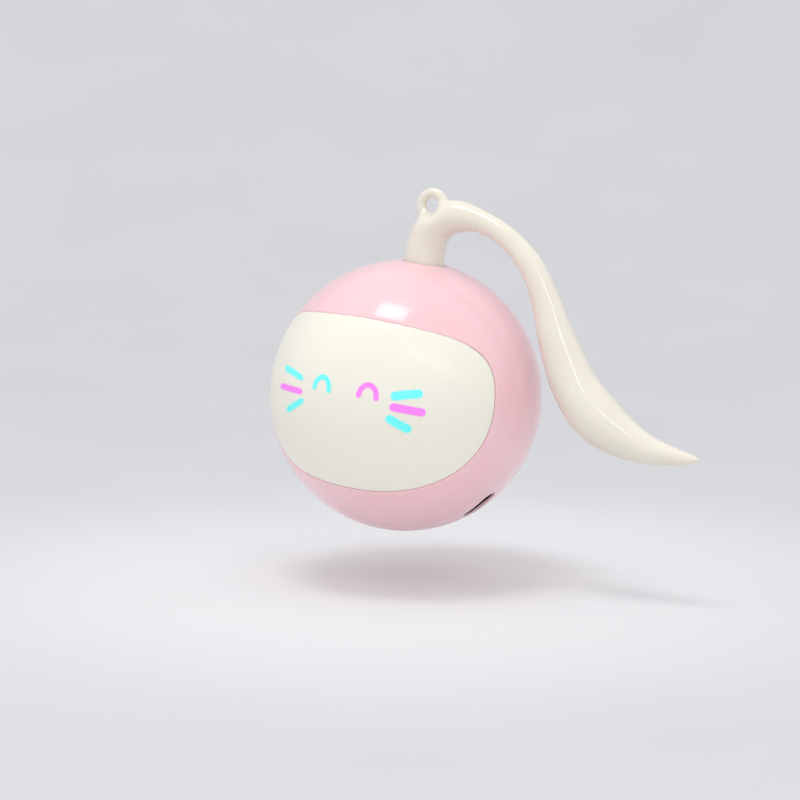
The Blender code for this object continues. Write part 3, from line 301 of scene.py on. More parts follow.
def extrude_ring(item, place):
    """Extrude the selected ring and move each of its points to place(point)."""
    bpy.ops.mesh.extrude_region_move()
    move_selected(item, place)


def close_ring(item, point):
    """Close a mesh over the selected ring with a fan of faces to a point."""
    bpy.ops.mesh.extrude_region_move()
    bpy.ops.mesh.merge(type="CENTER")
    move_selected(item, lambda old: point)


# The window's outline, in directions from the ball's centre.
# Shares of its half width: over which the sag changes sides, and its rounding
SAG_TURN_SHARE = 0.25
SAG_ROUND_SHARE = 0.12
# Points that the outline is worked out at, and entries of its table for each side
OUTLINE_POINTS = 4000
TABLE_DENSITY = 4


def power(value, exponent):
    """A power that keeps the value's sign."""
    return (1 if value >= 0 else -1) * abs(value) ** exponent


def window_direction(turn):
    """Direction of the window's edge; turn runs once round it."""
    s = sizes()
    upper = sin(turn) > 0
    squareness = s.square_top if upper else s.square_bottom
    reach = (s.top if upper else s.bottom) - s.widest
    lon = s.half_width * power(cos(turn), 2 / squareness)
    lat = s.widest + reach * abs(sin(turn)) ** (2 / squareness)
    if upper:
        share = lon / s.half_width
        sag = s.sag - s.sag_skew * tanh(share / SAG_TURN_SHARE)
        lat -= sag * sin(pi * sqrt(share ** 2 + SAG_ROUND_SHARE ** 2))
    return Vector((sin(lon) * cos(lat), -cos(lon) * cos(lat), sin(lat)))


def polar(direction):
    """Angle from the face's centre line, and the turn about it."""
    return acos(max(-1.0, min(1.0, -direction.y))), atan2(direction.z, direction.x)


def from_polar(angle, turn, radius):
    """The point at an angle from the face's centre line, a turn and a radius."""
    return Vector((sin(angle) * cos(turn), -cos(angle), sin(angle) * sin(turn))) * radius


def window_table(count):
    """Window edge as (turn about the face, angle), evenly spaced by turn."""
    turns = [2 * pi * (i + 0.5) / OUTLINE_POINTS for i in range(OUTLINE_POINTS)]
    fine = [polar(window_direction(turn)) for turn in turns]
    fine = sorted((turn, angle) for angle, turn in fine)
    table = []
    k = 0
    for i in range(count):
        turn = -pi + 2 * pi * (i + 0.5) / count
        while k < len(fine) - 2 and fine[k + 1][0] < turn:
            k += 1
        (a, low), (b, high) = fine[k], fine[k + 1]
        share = (turn - a) / (b - a) if b > a else 0
        table.append((turn, low + (high - low) * share))
    return table


def window_angle(turn, table):
    """Angle from the face's centre line to the window's edge at a turn."""
    count = len(table)
    place = (turn + pi) / (2 * pi) * count - 0.5
    k = int(place // 1)
    share = place - k
    return table[k % count][1] * (1 - share) + table[(k + 1) % count][1] * share


def radial_frame(angle):
    """Axes at an angle in the plane of the split: along the rim, +Y, outward."""
    back = Vector((0, 1, 0))
    outward_axis = Vector((cos(angle), 0, sin(angle)))
    return Matrix((back.cross(outward_axis), back, outward_axis)).transposed()


# Materials. A noise is spread over this part of its range, where nearly all of it lies
NOISE_LOW, NOISE_HIGH = 0.3, 0.7


def set_values(item, **settings):
    """Set a node's properties, or its inputs by name with _ for each space."""
    for key, value in settings.items():
        if hasattr(item, key):
            setattr(item, key, value)
        else:
            item.inputs[key.replace("_", " ")].default_value = value


def node(tree, kind, links=(), **settings):
    """Add a node, set its inputs and properties, and link (output, input) into it."""
    item = tree.nodes.new(kind)
    set_values(item, **settings)
    for source, socket in links:
        tree.links.new(source, item.inputs[socket])
    return item


def new_material(name):
    """A material, its node tree, its shader and the place on the object."""
    material = bpy.data.materials.new(name)
    material.use_nodes = True
    tree = material.node_tree
    shader = tree.nodes["Principled BSDF"]
    place = node(tree, "ShaderNodeTexCoord").outputs["Object"]
    return material, tree, shader, place


def set_stops(ramp, *stops):
    """Place a colour ramp's two stops, each a position and a hex colour."""
    for stop, (position, colour) in zip(ramp.color_ramp.elements, stops):
        stop.position = position
        stop.color = linear(colour)


def tinted(tree, place, shader, low, high, size, detail=3.0):
    """Colour that drifts between two shades over patches of a real size."""
    drift = node(tree, "ShaderNodeTexNoise", [(place, "Vector")], Scale=1 / size, Detail=detail)
    ramp = node(tree, "ShaderNodeValToRGB", [(drift.outputs["Fac"], "Fac")])
    set_stops(ramp, (NOISE_LOW, low), (NOISE_HIGH, high))
    tree.links.new(ramp.outputs["Color"], shader.inputs["Base Color"])


def rough_patches(tree, place, shader, low, high, size):
    """Roughness that wanders between two values over patches of a real size."""
    haze = node(tree, "ShaderNodeTexNoise", [(place, "Vector")], Scale=1 / size, Detail=4.0)
    spread = node(tree, "ShaderNodeMapRange", [(haze.outputs["Fac"], "Value")],
                  From_Min=NOISE_LOW, From_Max=NOISE_HIGH, To_Min=low, To_Max=high)
    tree.links.new(spread.outputs["Result"], shader.inputs["Roughness"])


def grained(tree, place, shader, size, depth, detail=2.0):
    """Fine relief: grain size and depth in metres."""
    grain = node(tree, "ShaderNodeTexNoise", [(place, "Vector")], Scale=1 / size, Detail=detail)
    bump = node(tree, "ShaderNodeBump", [(grain.outputs["Fac"], "Height")], Distance=depth, Strength=0.6)
    tree.links.new(bump.outputs["Normal"], shader.inputs["Normal"])


def pink_silicone():
    """Silicone rubber, liquid injection moulded in a polished cavity: a soft,
    slightly translucent body under a smooth skin that gives one crisp highlight."""
    material, tree, shader, place = new_material("Silicone, polished, pink")
    tinted(tree, place, shader, looks().skin, "#F3C6CB", 9 * MM)
    rough_patches(tree, place, shader, 0.20, 0.27, 4 * MM)
    grained(tree, place, shader, 0.5 * MM, 0.004 * MM)
    set_values(shader, IOR=1.41, Subsurface_Weight=0.25, Subsurface_Radius=(1.0, 0.45, 0.4),
               Subsurface_Scale=1.2 * MM, Coat_Weight=0.45, Coat_Roughness=0.065)
    return material


def cream_panel():
    """ABS, injection moulded and polished, cream: an even, hard gloss with the
    faint long waves of a moulded wall."""
    material, tree, shader, place = new_material("ABS, polished, cream")
    tinted(tree, place, shader, looks().panel, "#EEEBDE", 50 * MM, 1.0)
    rough_patches(tree, place, shader, 0.26, 0.275, 30 * MM)
    grained(tree, place, shader, 7 * MM, 0.004 * MM, 0.0)
    set_values(shader, IOR=1.53)
    return material


def cream_silicone():
    """Silicone rubber, moulded, cream: a little more translucent than the skin,
    with a clean gloss that draws one bright line along the tail."""
    material, tree, shader, place = new_material("Silicone, polished, cream")
    tinted(tree, place, shader, looks().tail, "#E4DED0", 8 * MM)
    rough_patches(tree, place, shader, 0.17, 0.24, 3 * MM)
    grained(tree, place, shader, 0.6 * MM, 0.004 * MM)
    set_values(shader, IOR=1.41, Subsurface_Weight=0.3, Subsurface_Radius=(1.0, 0.8, 0.6),
               Subsurface_Scale=1.6 * MM, Coat_Weight=0.8, Coat_Roughness=0.04)
    return material


def pad_ink(name, hex_colour, deep):
    """Pad printing ink: a thin film, flat and a little less glossy than the
    panel, with the faint mottle of a pad's lift."""
    material, tree, shader, place = new_material(name)
    tinted(tree, place, shader, hex_colour, deep, 1.1 * MM)
    rough_patches(tree, place, shader, 0.34, 0.44, 0.8 * MM)
    grained(tree, place, shader, 0.3 * MM, 0.003 * MM)
    return material


def moulded_plastic(name, low, high, roughness):
    """Injection moulded plastic with a spark-eroded grain, drawn at 0.35 mm."""
    material, tree, shader, place = new_material(name)
    tinted(tree, place, shader, low, high, 6 * MM)
    rough_patches(tree, place, shader, roughness - 0.05, roughness + 0.05, 2 * MM)
    grained(tree, place, shader, 0.35 * MM, 0.012 * MM)
    return material


def turned_metal(name, low, high, roughness):
    """Turned or drawn metal: fine rings along Y, where the shafts and the motor lie,
    drawn 0.75 mm apart. A wave runs once in 2 pi / 20 of its own units."""
    material, tree, shader, place = new_material(name)
    tinted(tree, place, shader, low, high, 3 * MM)
    rough_patches(tree, place, shader, roughness - 0.06, roughness + 0.06, 1.5 * MM)
    ring = 0.12 * MM  # the rings' spacing over 2 pi
    rings = node(tree, "ShaderNodeTexWave", [(place, "Vector")], wave_type="BANDS",
                 bands_direction="Y", Scale=1 / (20 * ring), Distortion=1.5)
    bump = node(tree, "ShaderNodeBump", [(rings.outputs["Fac"], "Height")],
                Distance=0.004 * MM, Strength=0.5)
    tree.links.new(bump.outputs["Normal"], shader.inputs["Normal"])
    set_values(shader, Metallic=1.0)
    return material


def cast_zinc():
    """Zinc alloy, pressure die-cast and tumbled: dull grey with a fine pebble."""
    material, tree, shader, place = new_material("Zinc alloy, die-cast")
    tinted(tree, place, shader, "#8F9398", "#A9ADB1", 3 * MM)
    rough_patches(tree, place, shader, 0.42, 0.58, 1.5 * MM)
    grained(tree, place, shader, 0.3 * MM, 0.02 * MM)
    set_values(shader, Metallic=1.0)
    return material


def seal_rubber_and_slot_shade():
    """Nitrile rubber, compression moulded, black: matt, with a faint bloom. It is kept near black and
    low in sheen so that the seal in the charging port's slot is painted shade deep in the slot.
    """
    material, tree, shader, place = new_material("Nitrile rubber, black")
    tinted(tree, place, shader, "#0B0709", "#120D10", 1.5 * MM)
    rough_patches(tree, place, shader, 0.70, 0.84, 1 * MM)
    grained(tree, place, shader, 0.2 * MM, 0.006 * MM)
    # Low sheen keeps the seal black: painted shade in the port's slot
    set_values(shader, Specular_IOR_Level=0.15)
    return material


def solder_mask():
    """Glass-epoxy laminate under green solder mask: the copper tracks show as a
    slightly lighter net, drawn at 1.2 mm, with the mask a little fuller between."""
    material, tree, shader, place = new_material("Epoxy laminate, green mask")
    cells = node(tree, "ShaderNodeTexVoronoi", [(place, "Vector")], distance="MANHATTAN",
                 feature="DISTANCE_TO_EDGE", Scale=1 / (1.2 * MM))
    ramp = node(tree, "ShaderNodeValToRGB", [(cells.outputs["Distance"], "Fac")])
    set_stops(ramp, (0.05, "#2E8A5A"), (0.09, "#17603C"))
    tree.links.new(ramp.outputs["Color"], shader.inputs["Base Color"])
    bump = node(tree, "ShaderNodeBump", [(cells.outputs["Distance"], "Height")],
                Distance=0.02 * MM, Strength=0.4)
    tree.links.new(bump.outputs["Normal"], shader.inputs["Normal"])
    set_values(shader, Roughness=0.3)
    return material


def wrap_film():
    """Polymer battery pouch: aluminium laminate, heat sealed, with soft creases."""
    material, tree, shader, place = new_material("Aluminium laminate pouch")
    tinted(tree, place, shader, "#B9BDC2", "#D3D6D9", 4 * MM)
    rough_patches(tree, place, shader, 0.26, 0.40, 2 * MM)
    grained(tree, place, shader, 2.5 * MM, 0.05 * MM)
    set_values(shader, Metallic=0.9)
    return material


def open_foam():
    """Polyurethane foam, die cut: matt, with open cells drawn at 0.5 mm."""
    material, tree, shader, place = new_material("Polyurethane foam, grey")
    tinted(tree, place, shader, "#7D8084", "#9A9CA0", 2 * MM)
    cells = node(tree, "ShaderNodeTexVoronoi", [(place, "Vector")], Scale=1 / (0.5 * MM))
    bump = node(tree, "ShaderNodeBump", [(cells.outputs["Distance"], "Height")],
                Distance=0.15 * MM, Strength=0.8)
    tree.links.new(bump.outputs["Normal"], shader.inputs["Normal"])
    set_values(shader, Roughness=0.95)
    return material


def lamp_lens():
    """Epoxy lens of the charging lamp: clear amber over a pale chip."""
    material, tree, shader, place = new_material("Epoxy lens, amber")
    tinted(tree, place, shader, "#F0B060", "#F6C27C", 0.6 * MM)
    rough_patches(tree, place, shader, 0.15, 0.22, 0.5 * MM)
    set_values(shader, Transmission_Weight=0.3)
    return material


def slot_materials():
    """One finish for each material slot of the record."""
    return {
        "pink_silicone": pink_silicone(),
        "cream_abs": cream_panel(),
        "cream_silicone": cream_silicone(),
        "white_pom": moulded_plastic("Acetal, natural white", "#E2E0D8", "#EEECE4", 0.34),
        "grey_abs": moulded_plastic("ABS, grained, grey", "#B0B3B7", "#C0C3C7", 0.50),
        "steel": turned_metal("Steel, nickel plated", "#C2C4C6", "#D2D4D6", 0.28),
        "black_steel": turned_metal("Steel, black oxide", "#33343A", "#44454B", 0.42),
        "brass": turned_metal("Brass, turned", "#C09A48", "#D2B06A", 0.26),
        "zinc": cast_zinc(),
        "green_board": solder_mask(),
        "black_plastic": moulded_plastic("Epoxy moulding compound, black", "#1B1C1E", "#28292B", 0.55),
        # The port's black seal, which is also painted shade deep in the charging slot
        "black_rubber": seal_rubber_and_slot_shade(),
        "amber_lens": lamp_lens(),
        "battery_foil": wrap_film(),
        "grey_foam": open_foam(),
        "red_lead": moulded_plastic("PVC insulation, red", "#C02F2A", "#CE3A33", 0.38),
        "black_lead": moulded_plastic("PVC insulation, black", "#1C1D1F", "#2A2B2D", 0.40),
    }


def slot_material(slot_name):
    """The finish of a slot, made once."""
    names = bpy.context.scene.get("cat_ball_finishes")
    if not names:
        names = {slot: material.name for slot, material in slot_materials().items()}
        bpy.context.scene["cat_ball_finishes"] = names
    return bpy.data.materials[names[slot_name]]


# Cutters with a rounded mouth, for the skin's openings: points round each, rings
# in the mouth's rounding, how far down they reach as a share of the ball's radius,
# and how far they stand over the ball
MOUTH_SIDES = 96
MOUTH_RINGS = 8
MOUTH_FLOOR_SHARE = 0.8
MOUTH_OVER = 1.2 * MM
# The port's lip is sharper than the skin's other edges
PORT_LIP_SHARE = 0.6


def stadium_reach(turn, half_length, half_width, grow):
    """Distance from the centre to a stadium's outline, grown by grow, at a turn."""
    radius = half_width + grow
    straight = half_length - half_width
    across = abs(sin(turn))
    along = abs(cos(turn))
    if straight > 0 and across * straight > radius * along:
        return radius / across
    return straight * along + sqrt(radius ** 2 - (straight * across) ** 2)


def mouth_cutter(name, axes, half_length, half_width, radius, flare):
    """Cutter along axes.z: straight below, flared to a quarter round at the sphere."""
    cutter = open_circle(name, MOUTH_SIDES, half_width)
    level = axes.inverted()

    def ring(depth, grow):
        def place(point):
            local = level @ point
            turn = atan2(local.y, local.x)
            reach = stadium_reach(turn, half_length, half_width, grow)
            height = sqrt((radius - depth) ** 2 - reach ** 2)
            return axes @ Vector((reach * cos(turn), reach * sin(turn), height))
        return place

    def foot(point):
        turn = atan2(point.y, point.x)
        reach = stadium_reach(turn, half_length, half_width, 0)
        return axes @ Vector((reach * cos(turn), reach * sin(turn), radius * MOUTH_FLOOR_SHARE))

    move_selected(cutter, foot)
    for step in range(MOUTH_RINGS + 1):
        angle = pi / 2 * step / MOUTH_RINGS
        extrude_ring(cutter, ring(flare * (1 - sin(angle)), flare * (1 - cos(angle))))
    extrude_ring(cutter, ring(-MOUTH_OVER, flare))
    outward(cutter)
    return cutter


# Pieces

class CATBALL_OT_skin(bpy.types.Operator):
    """Silicone skin with its window and openings"""
    bl_idname = "catball.skin"
    bl_label = "Silicone skin"

    def execute(self, context):
        s = sizes()
        table = window_table(s.sides * TABLE_DENSITY)
        skin = open_circle("jacket_skin", s.sides, s.radius, turned=ON_EDGE, fill="NOTHING")
        for ring in range(s.rings):
            share = ring / s.rings

            def place(point):
                turn = atan2(point.z, point.x)
                edge = window_angle(turn, table)
                return from_polar(edge + (pi - edge) * share, turn, s.radius)

            if ring:
                extrude_ring(skin, place)
            else:
                move_selected(skin, place)
        close_ring(skin, Vector((0, s.radius, 0)))
        bpy.ops.mesh.select_all(action="SELECT")
        bpy.ops.mesh.normals_make_consistent(inside=False)
        bpy.ops.object.mode_set(mode="OBJECT")
        face_away(skin, 0)
        give_wall(skin, s.skin, -1, even=True)
        bpy.ops.object.mode_set(mode="EDIT")
        bpy.ops.mesh.select_all(action="DESELECT")
        bpy.ops.mesh.select_mode(type="EDGE")
        bpy.ops.mesh.edges_select_sharp(sharpness=radians(60))
        bpy.ops.mesh.bevel(offset=s.lip, segments=5, affect="EDGES")
        bpy.ops.mesh.select_mode(type="VERT")
        bpy.ops.object.mode_set(mode="OBJECT")
        for name, axes, half_length, half_width, flare in (
                ("port mouth", radial_frame(s.port_angle), s.port_length / 2, s.port_width / 2,
                 s.lip * PORT_LIP_SHARE),
                ("button mouth", radial_frame(s.button_angle), s.button_hole, s.button_hole, s.lip),
                ("tail mouth", Matrix.Identity(3), s.tail_hole, s.tail_hole, s.lip)):
            cut(skin, mouth_cutter(name, axes, half_length, half_width, s.radius, flare))
        smooth(skin, 50)
        dress(skin, slot_material("pink_silicone"), "ball")
        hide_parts("jacket")
        return {"FINISHED"}


# The face panel's rings, across it and in its edge's rounding, and its sheet's wall
PANEL_RINGS = 40
PANEL_EDGE_RINGS = 6
PANEL_WALL = 0.03 * MM


class CATBALL_OT_panel(bpy.types.Operator):
    """Face panel with a rounded edge, set in the skin's window"""
    bl_idname = "catball.panel"
    bl_label = "Face panel"

    def execute(self, context):
        s = sizes()
        table = window_table(s.sides * TABLE_DENSITY)
        panel = open_circle("face_panel", s.sides, s.panel_radius, turned=ON_EDGE, fill="NOTHING")

        def ring(gap, radius, share=1):
            def place(point):
                turn = atan2(point.z, point.x)
                edge = window_angle(turn, table) - gap / radius
                return from_polar(edge * share, turn, radius)
            return place

        move_selected(panel, ring(s.panel_gap + PANEL_WALL, s.panel_foot))
        extrude_ring(panel, ring(s.panel_gap, s.panel_foot))
        for step in range(PANEL_EDGE_RINGS + 1):
            angle = pi / 2 * step / PANEL_EDGE_RINGS
            extrude_ring(panel, ring(s.panel_gap + s.panel_edge * (1 - cos(angle)),
                                     s.panel_radius - s.panel_edge * (1 - sin(angle))))
        for step in range(1, PANEL_RINGS):
            extrude_ring(panel, ring(s.panel_gap + s.panel_edge, s.panel_radius,
                                     1 - step / PANEL_RINGS))
        close_ring(panel, Vector((0, -s.panel_radius, 0)))
        outward(panel)
        give_wall(panel, PANEL_WALL, -1)
        smooth(panel, 50)
        dress(panel, slot_material("cream_abs"), "ball")
        return {"FINISHED"}


# Each station of the tail's path: reach, rise and radius, as shares of the tail's
# reach, rise and swell
TAIL_PATH_SHARES = (
    (0.000, 0.825, 0.815),
    (0.027, 0.938, 0.800),
    (0.092, 0.990, 0.690),
    (0.177, 0.985, 0.480),
    (0.265, 0.933, 0.457),
    (0.360, 0.815, 0.505),
    (0.430, 0.646, 0.590),
    (0.490, 0.445, 0.780),
    (0.571, 0.229, 0.955),
    (0.675, 0.075, 1.025),
    (0.809, -0.010, 0.680),
    (0.936, -0.023, 0.345),
    (0.984, -0.016, 0.190),
    (1.000, -0.013, 0.060),
)
# Rings from one station to the next, points round the tail, and rings of its round tip
TAIL_STEPS = 8
TAIL_SIDES = 64
TIP_RINGS = 5
# The loop's centre, as shares of the tail's reach and rise
LOOP_PLACE_SHARES = (0.000, 1.028)
# How fast the dish round the loop's hole widens
DISH_SLOPE = 0.5
# Its narrowest radius, in radii of the hole
DISH_WAIST_SHARE = 0.75
# Rounds of smoothing: all over once the loop is melted in, and beside the loop
MELT_ROUNDS = 12
BLEND_ROUNDS = 70


def smooth_path(stations, steps):
    """A Catmull-Rom curve through the stations."""
    ends = [2 * stations[0] - stations[1]] + stations + [2 * stations[-1] - stations[-2]]
    path = []
    for k in range(1, len(ends) - 2):
        a, b, c, d = ends[k - 1:k + 3]
        for i in range(steps):
            t = i / steps
            path.append(0.5 * (2 * b + (c - a) * t + (2 * a - 5 * b + 4 * c - d) * t ** 2
                               + (3 * b - a - 3 * c + d) * t ** 3))
    path.append(ends[-2])
    return path


def tail_path():
    """The tail's rings as (x, z, radius), from its flat foot to its round tip."""
    t = tail_sizes()
    stations = [Vector((0, t.foot, t.base))]
    for reach, rise, radius in TAIL_PATH_SHARES:
        stations.append(Vector((reach * t.reach, rise * t.rise, radius * t.swell)))
    path = smooth_path(stations, TAIL_STEPS)
    tip = path[-1]
    ahead = (path[-1] - path[-2]).to_2d().normalized()
    for step in range(1, TIP_RINGS):
        angle = pi / 2 * step / TIP_RINGS
        path.append(Vector((tip.x + ahead.x * tip.z * sin(angle), tip.y + ahead.y * tip.z * sin(angle),
                            tip.z * cos(angle))))
    return path


def swept_ring(path, i):
    """Mover that carries the ring at station i-1 of the path to station i."""
    def heading(k):
        before, after = path[max(k - 1, 0)], path[min(k + 1, len(path) - 1)]
        if k == 0:
            return Vector((0, 0, 1))
        return Vector((after.x - before.x, 0, after.y - before.y)).normalized()

    old, new = path[i - 1], path[i]
    turn = heading(i - 1).rotation_difference(heading(i)).to_matrix()
    grow = new.z / old.z
    old_place, new_place = Vector((old.x, 0, old.y)), Vector((new.x, 0, new.y))
    return lambda point: new_place + turn @ (point - old_place) * grow


def dish_cutter(centre, radius, reach):
    """Cutter along Y: narrow at the centre, wider towards both ends."""
    wide = radius + DISH_SLOPE * reach
    cutter = open_circle("dish", 72, wide, centre - Vector((0, reach, 0)), ON_EDGE)
    for end, grow in ((0, radius / wide), (reach, 1 + DISH_SLOPE * reach / radius)):
        extrude_ring(cutter, lambda p: Vector((centre.x + (p.x - centre.x) * grow, centre.y + end,
                                               centre.z + (p.z - centre.z) * grow)))
    outward(cutter)
    return cutter


def rod_cutter(name, place, radius, depth, sides, turned=(0, 0, 0)):
    """Round cutter about a place, along Z or as it is turned."""
    clear_selection()
    bpy.ops.mesh.primitive_cylinder_add(vertices=sides, radius=radius, depth=depth, location=place,
                                        rotation=turned)
    cutter = named(name)
    settle(cutter)
    return cutter


class CATBALL_OT_tail(bpy.types.Operator):
    """Soft tail with its hanging loop"""
    bl_idname = "catball.tail"
    bl_label = "Tail"

    def execute(self, context):
        t = tail_sizes()
        path = tail_path()
        tail = open_circle("tail_soft", TAIL_SIDES, t.base, (0, 0, t.foot))
        for i in range(1, len(path)):
            extrude_ring(tail, swept_ring(path, i))
        outward(tail)
        place = Vector((LOOP_PLACE_SHARES[0] * t.reach, 0, LOOP_PLACE_SHARES[1] * t.rise))
        clear_selection()
        bpy.ops.mesh.primitive_torus_add(
            major_segments=96, minor_segments=36, location=place, rotation=ON_EDGE,
            major_radius=(t.loop_radius + t.loop_hole) / 2,
            minor_radius=(t.loop_radius - t.loop_hole) / 2)
        loop = named("loop")
        settle(loop)
        cut(tail, dish_cutter(place, DISH_WAIST_SHARE * t.loop_hole, 2 * t.swell))
        cut(tail, loop, "UNION")
        cut(tail, rod_cutter("eye", place, t.loop_hole, 4 * t.swell, 64, ON_EDGE))
        melt = tail.modifiers.new("melt", "REMESH")
        melt.mode = "VOXEL"
        melt.voxel_size = t.voxel
        soften = tail.modifiers.new("soften", "SMOOTH")
        soften.factor = 0.5
        soften.iterations = MELT_ROUNDS
        finish_modifiers(tail)
        bpy.ops.object.mode_set(mode="EDIT")
        select_beside(tail, place, t.blend, t.loop_radius - t.loop_hole)
        bpy.ops.mesh.vertices_smooth(factor=0.5, repeat=BLEND_ROUNDS)
        bpy.ops.object.mode_set(mode="OBJECT")
        cut(tail, rod_cutter("bore", (0, 0, t.foot), t.bore, 2 * t.bore_depth, 48))
        smooth(tail, 60)
        dress(tail, slot_material("cream_silicone"), "tail")
        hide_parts("tail")
        return {"FINISHED"}


# The button's top: its edge's rounding, its dish's depth, how far the dish reaches
# and where the flat rim starts, as shares of the radius, and the rings in each
BUTTON_ROUND = 0.3 * MM
BUTTON_DISH = 0.22 * MM
BUTTON_DISH_SHARE = 0.82
BUTTON_RIM_SHARE = 0.88
BUTTON_RINGS = 6


class CATBALL_OT_button(bpy.types.Operator):
    """Power button with a dished top"""
    bl_idname = "catball.button"
    bl_label = "Power button"

    def execute(self, context):
        s = sizes()
        axes = radial_frame(s.button_angle)
        level = axes.inverted()
        r = s.button_radius
        top = s.radius + s.button_proud
        profile = [(s.button_flange, s.button_seat), (r, s.button_seat), (r, top - BUTTON_ROUND)]
        for step in range(1, BUTTON_RINGS + 1):
            angle = pi / 2 * step / BUTTON_RINGS
            profile.append((r - BUTTON_ROUND * (1 - cos(angle)), top - BUTTON_ROUND * (1 - sin(angle))))
        for step in range(1, BUTTON_RINGS + 1):
            share = 1 - step / (BUTTON_RINGS + 1)
            dish = BUTTON_DISH * (1 + cos(pi * min(share / BUTTON_DISH_SHARE, 1))) / 2
            profile.append((r * BUTTON_RIM_SHARE * share, top - dish))
        button = open_circle("power_button_cap", 96, s.button_flange)

        def ring(radius, height):
            def place(point):
                local = level @ point
                flat = Vector((local.x, local.y, 0)).normalized() * radius
                return axes @ Vector((flat.x, flat.y, height))
            return place

        foot = s.button_seat - s.button_flange_wall
        move_selected(button, lambda p: axes @ Vector((p.x, p.y, foot)))
        for radius, height in profile:
            extrude_ring(button, ring(radius, height))
        bpy.ops.mesh.merge(type="CENTER")
        outward(button)
        smooth(button, 40)
        dress(button, slot_material("cream_silicone"), "button")
        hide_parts("power_button")
        return {"FINISHED"}


# Print on the face panel: (lon, lat) in degrees of each stroke's centre line,
# its width and the length of its round ends in mm, its colour
STROKES = (
    ("whisker_left_1", ((-36.4, 7.9), (-28.8, 7.3), (-20.9, 5.9)), 1.4, 1.3, "cyan"),
    ("whisker_left_2", ((-37.6, 0.0), (-28.6, 0.4), (-19.8, 0.7)), 1.35, 1.3, "magenta"),
    ("whisker_left_3", ((-30.0, -9.0), (-24.2, -5.8), (-18.6, -2.3)), 1.4, 1.2, "cyan"),
    ("whisker_right_1", ((21.4, 6.3), (27.6, 8.0), (34.2, 9.3)), 1.9, 0.95, "cyan"),
    ("whisker_right_2", ((21.5, 2.3), (28.8, 2.0), (36.3, 1.6)), 1.75, 0.9, "magenta"),
    ("whisker_right_3", ((20.7, -2.1), (26.0, -4.3), (31.5, -6.2)), 1.85, 0.95, "cyan"),
    ("eye_left", ((-13.5, 3.0), (-12.9, 6.4), (-10.9, 8.6), (-8.3, 8.6), (-6.3, 6.4), (-5.7, 3.0)),
     1.15, 0.6, "cyan"),
    ("eye_right", ((7.9, 3.6), (8.5, 7.0), (10.5, 9.2), (13.1, 9.2), (15.1, 7.0), (15.7, 3.6)),
     1.15, 0.6, "magenta"),
)
# The ink's height over the panel and its film's thickness
INK_LIFT = 0.012 * MM
INK_FILM = 0.02 * MM
# Faces of a stroke along and across it, and points between two of its places
STROKE_LENGTHS = 48
STROKE_WIDTHS = 6
STROKE_STEPS = 10


def direction(lon, lat):
    """Direction from the ball's centre to a longitude and latitude in degrees."""
    a, b = radians(lon), radians(lat)
    return Vector((sin(a) * cos(b), -cos(a) * cos(b), sin(b)))


class CATBALL_OT_print(bpy.types.Operator):
    """Pad print on the face panel: whiskers and closed eyes"""
    bl_idname = "catball.print"
    bl_label = "Print"

    def execute(self, context):
        s = sizes()
        inks = {
            "cyan": pad_ink("Pad print ink, cyan", looks().cyan, "#6CFAFA"),
            "magenta": pad_ink("Pad print ink, magenta", looks().magenta, "#FA84F6"),
        }
        radius = s.panel_radius + INK_LIFT
        for name, points, width, cap, colour in STROKES:
            line = smooth_path([direction(*point) for point in points], STROKE_STEPS)
            line = [point.normalized() for point in line]
            length = sum((b - a).length for a, b in zip(line, line[1:])) * radius
            half = width * MM / 2
            clear_selection()
            bpy.ops.mesh.primitive_grid_add(x_subdivisions=STROKE_LENGTHS,
                                            y_subdivisions=STROKE_WIDTHS, size=2)
            stroke = named("print_" + name)
            edit_all(stroke)

            def place(point):
                share = (1 - cos(pi * (point.x + 1) / 2)) / 2
                run = share * (len(line) - 1)
                k = min(int(run), len(line) - 2)
                centre = line[k].lerp(line[k + 1], run - k).normalized()
                ahead = (line[k + 1] - line[k]).normalized()
                side = centre.cross(ahead).normalized()
                left = max(1 - min(share, 1 - share) * length / (cap * MM), 0)
                spread = half * sqrt(1 - left ** 2)
                return (centre * radius + side * point.y * spread).normalized() * radius

            move_selected(stroke, place)
            outward(stroke)
            face_away(stroke, 100)  # a face in the stroke's middle
            give_wall(stroke, INK_FILM, 1)
            smooth(stroke, 50)
            dress(stroke, inks[colour], "ball")
        return {"FINISHED"}


class CATBALL_OT_insides(bpy.types.Operator):
    """Finishes for the model's own parts, by their material slots"""
    bl_idname = "catball.insides"
    bl_label = "Finishes"

    def execute(self, context):
        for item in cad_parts.values():
            for place in item.material_slots:
                place.material = slot_material(place.material.name.split(".")[0])
        return {"FINISHED"}


# Studio: the camera's axes, its place along them in metres and its lens in mm,
# and the floor's upward direction
CAMERA_BACK = Vector((0.45725, -0.87838, 0.13917))
CAMERA_RIGHT = Vector((0.86943, 0.47444, 0.13782))
CAMERA_UP = Vector((-0.18709, 0.05798, 0.98063))
CAMERA_PLACE = CAMERA_BACK * 0.6 - CAMERA_RIGHT * 0.001303 - CAMERA_UP * 0.001104
CAMERA_LENS = 122.25
LEVEL = Vector((-0.1216, -0.0648, 0.9905))
# The floor's size, its squares, where its bend starts and the bend's radius
FLOOR_SIZE = 2.4
FLOOR_SQUARES = 24
BEND_START = 0.30
BEND_RADIUS = 0.45
AIR_STRENGTH = 0.92
# Soft lights: direction and distance from the object, width, height, watts, upward
LIGHTS = {
    "key": ((-0.187, -0.262, 0.947), 0.9, 0.33, 0.215, 1.65, CAMERA_UP),
    "overhead": ((-0.10, 0.10, 1.0), 1.0, 1.3, 1.1, 0.3, CAMERA_UP),
    "line": ((0.56, -0.50, 0.61), 1.0, 0.75, 0.05, 0.7, Vector((0.139, -0.673, -0.679))),
    "left": ((-0.669, -0.51, 0.54), 1.0, 0.7, 0.7, 0.4, CAMERA_UP),
    "front": ((0.42, -0.86, 0.27), 0.9, 1.2, 0.5, 0.5, CAMERA_UP),
}


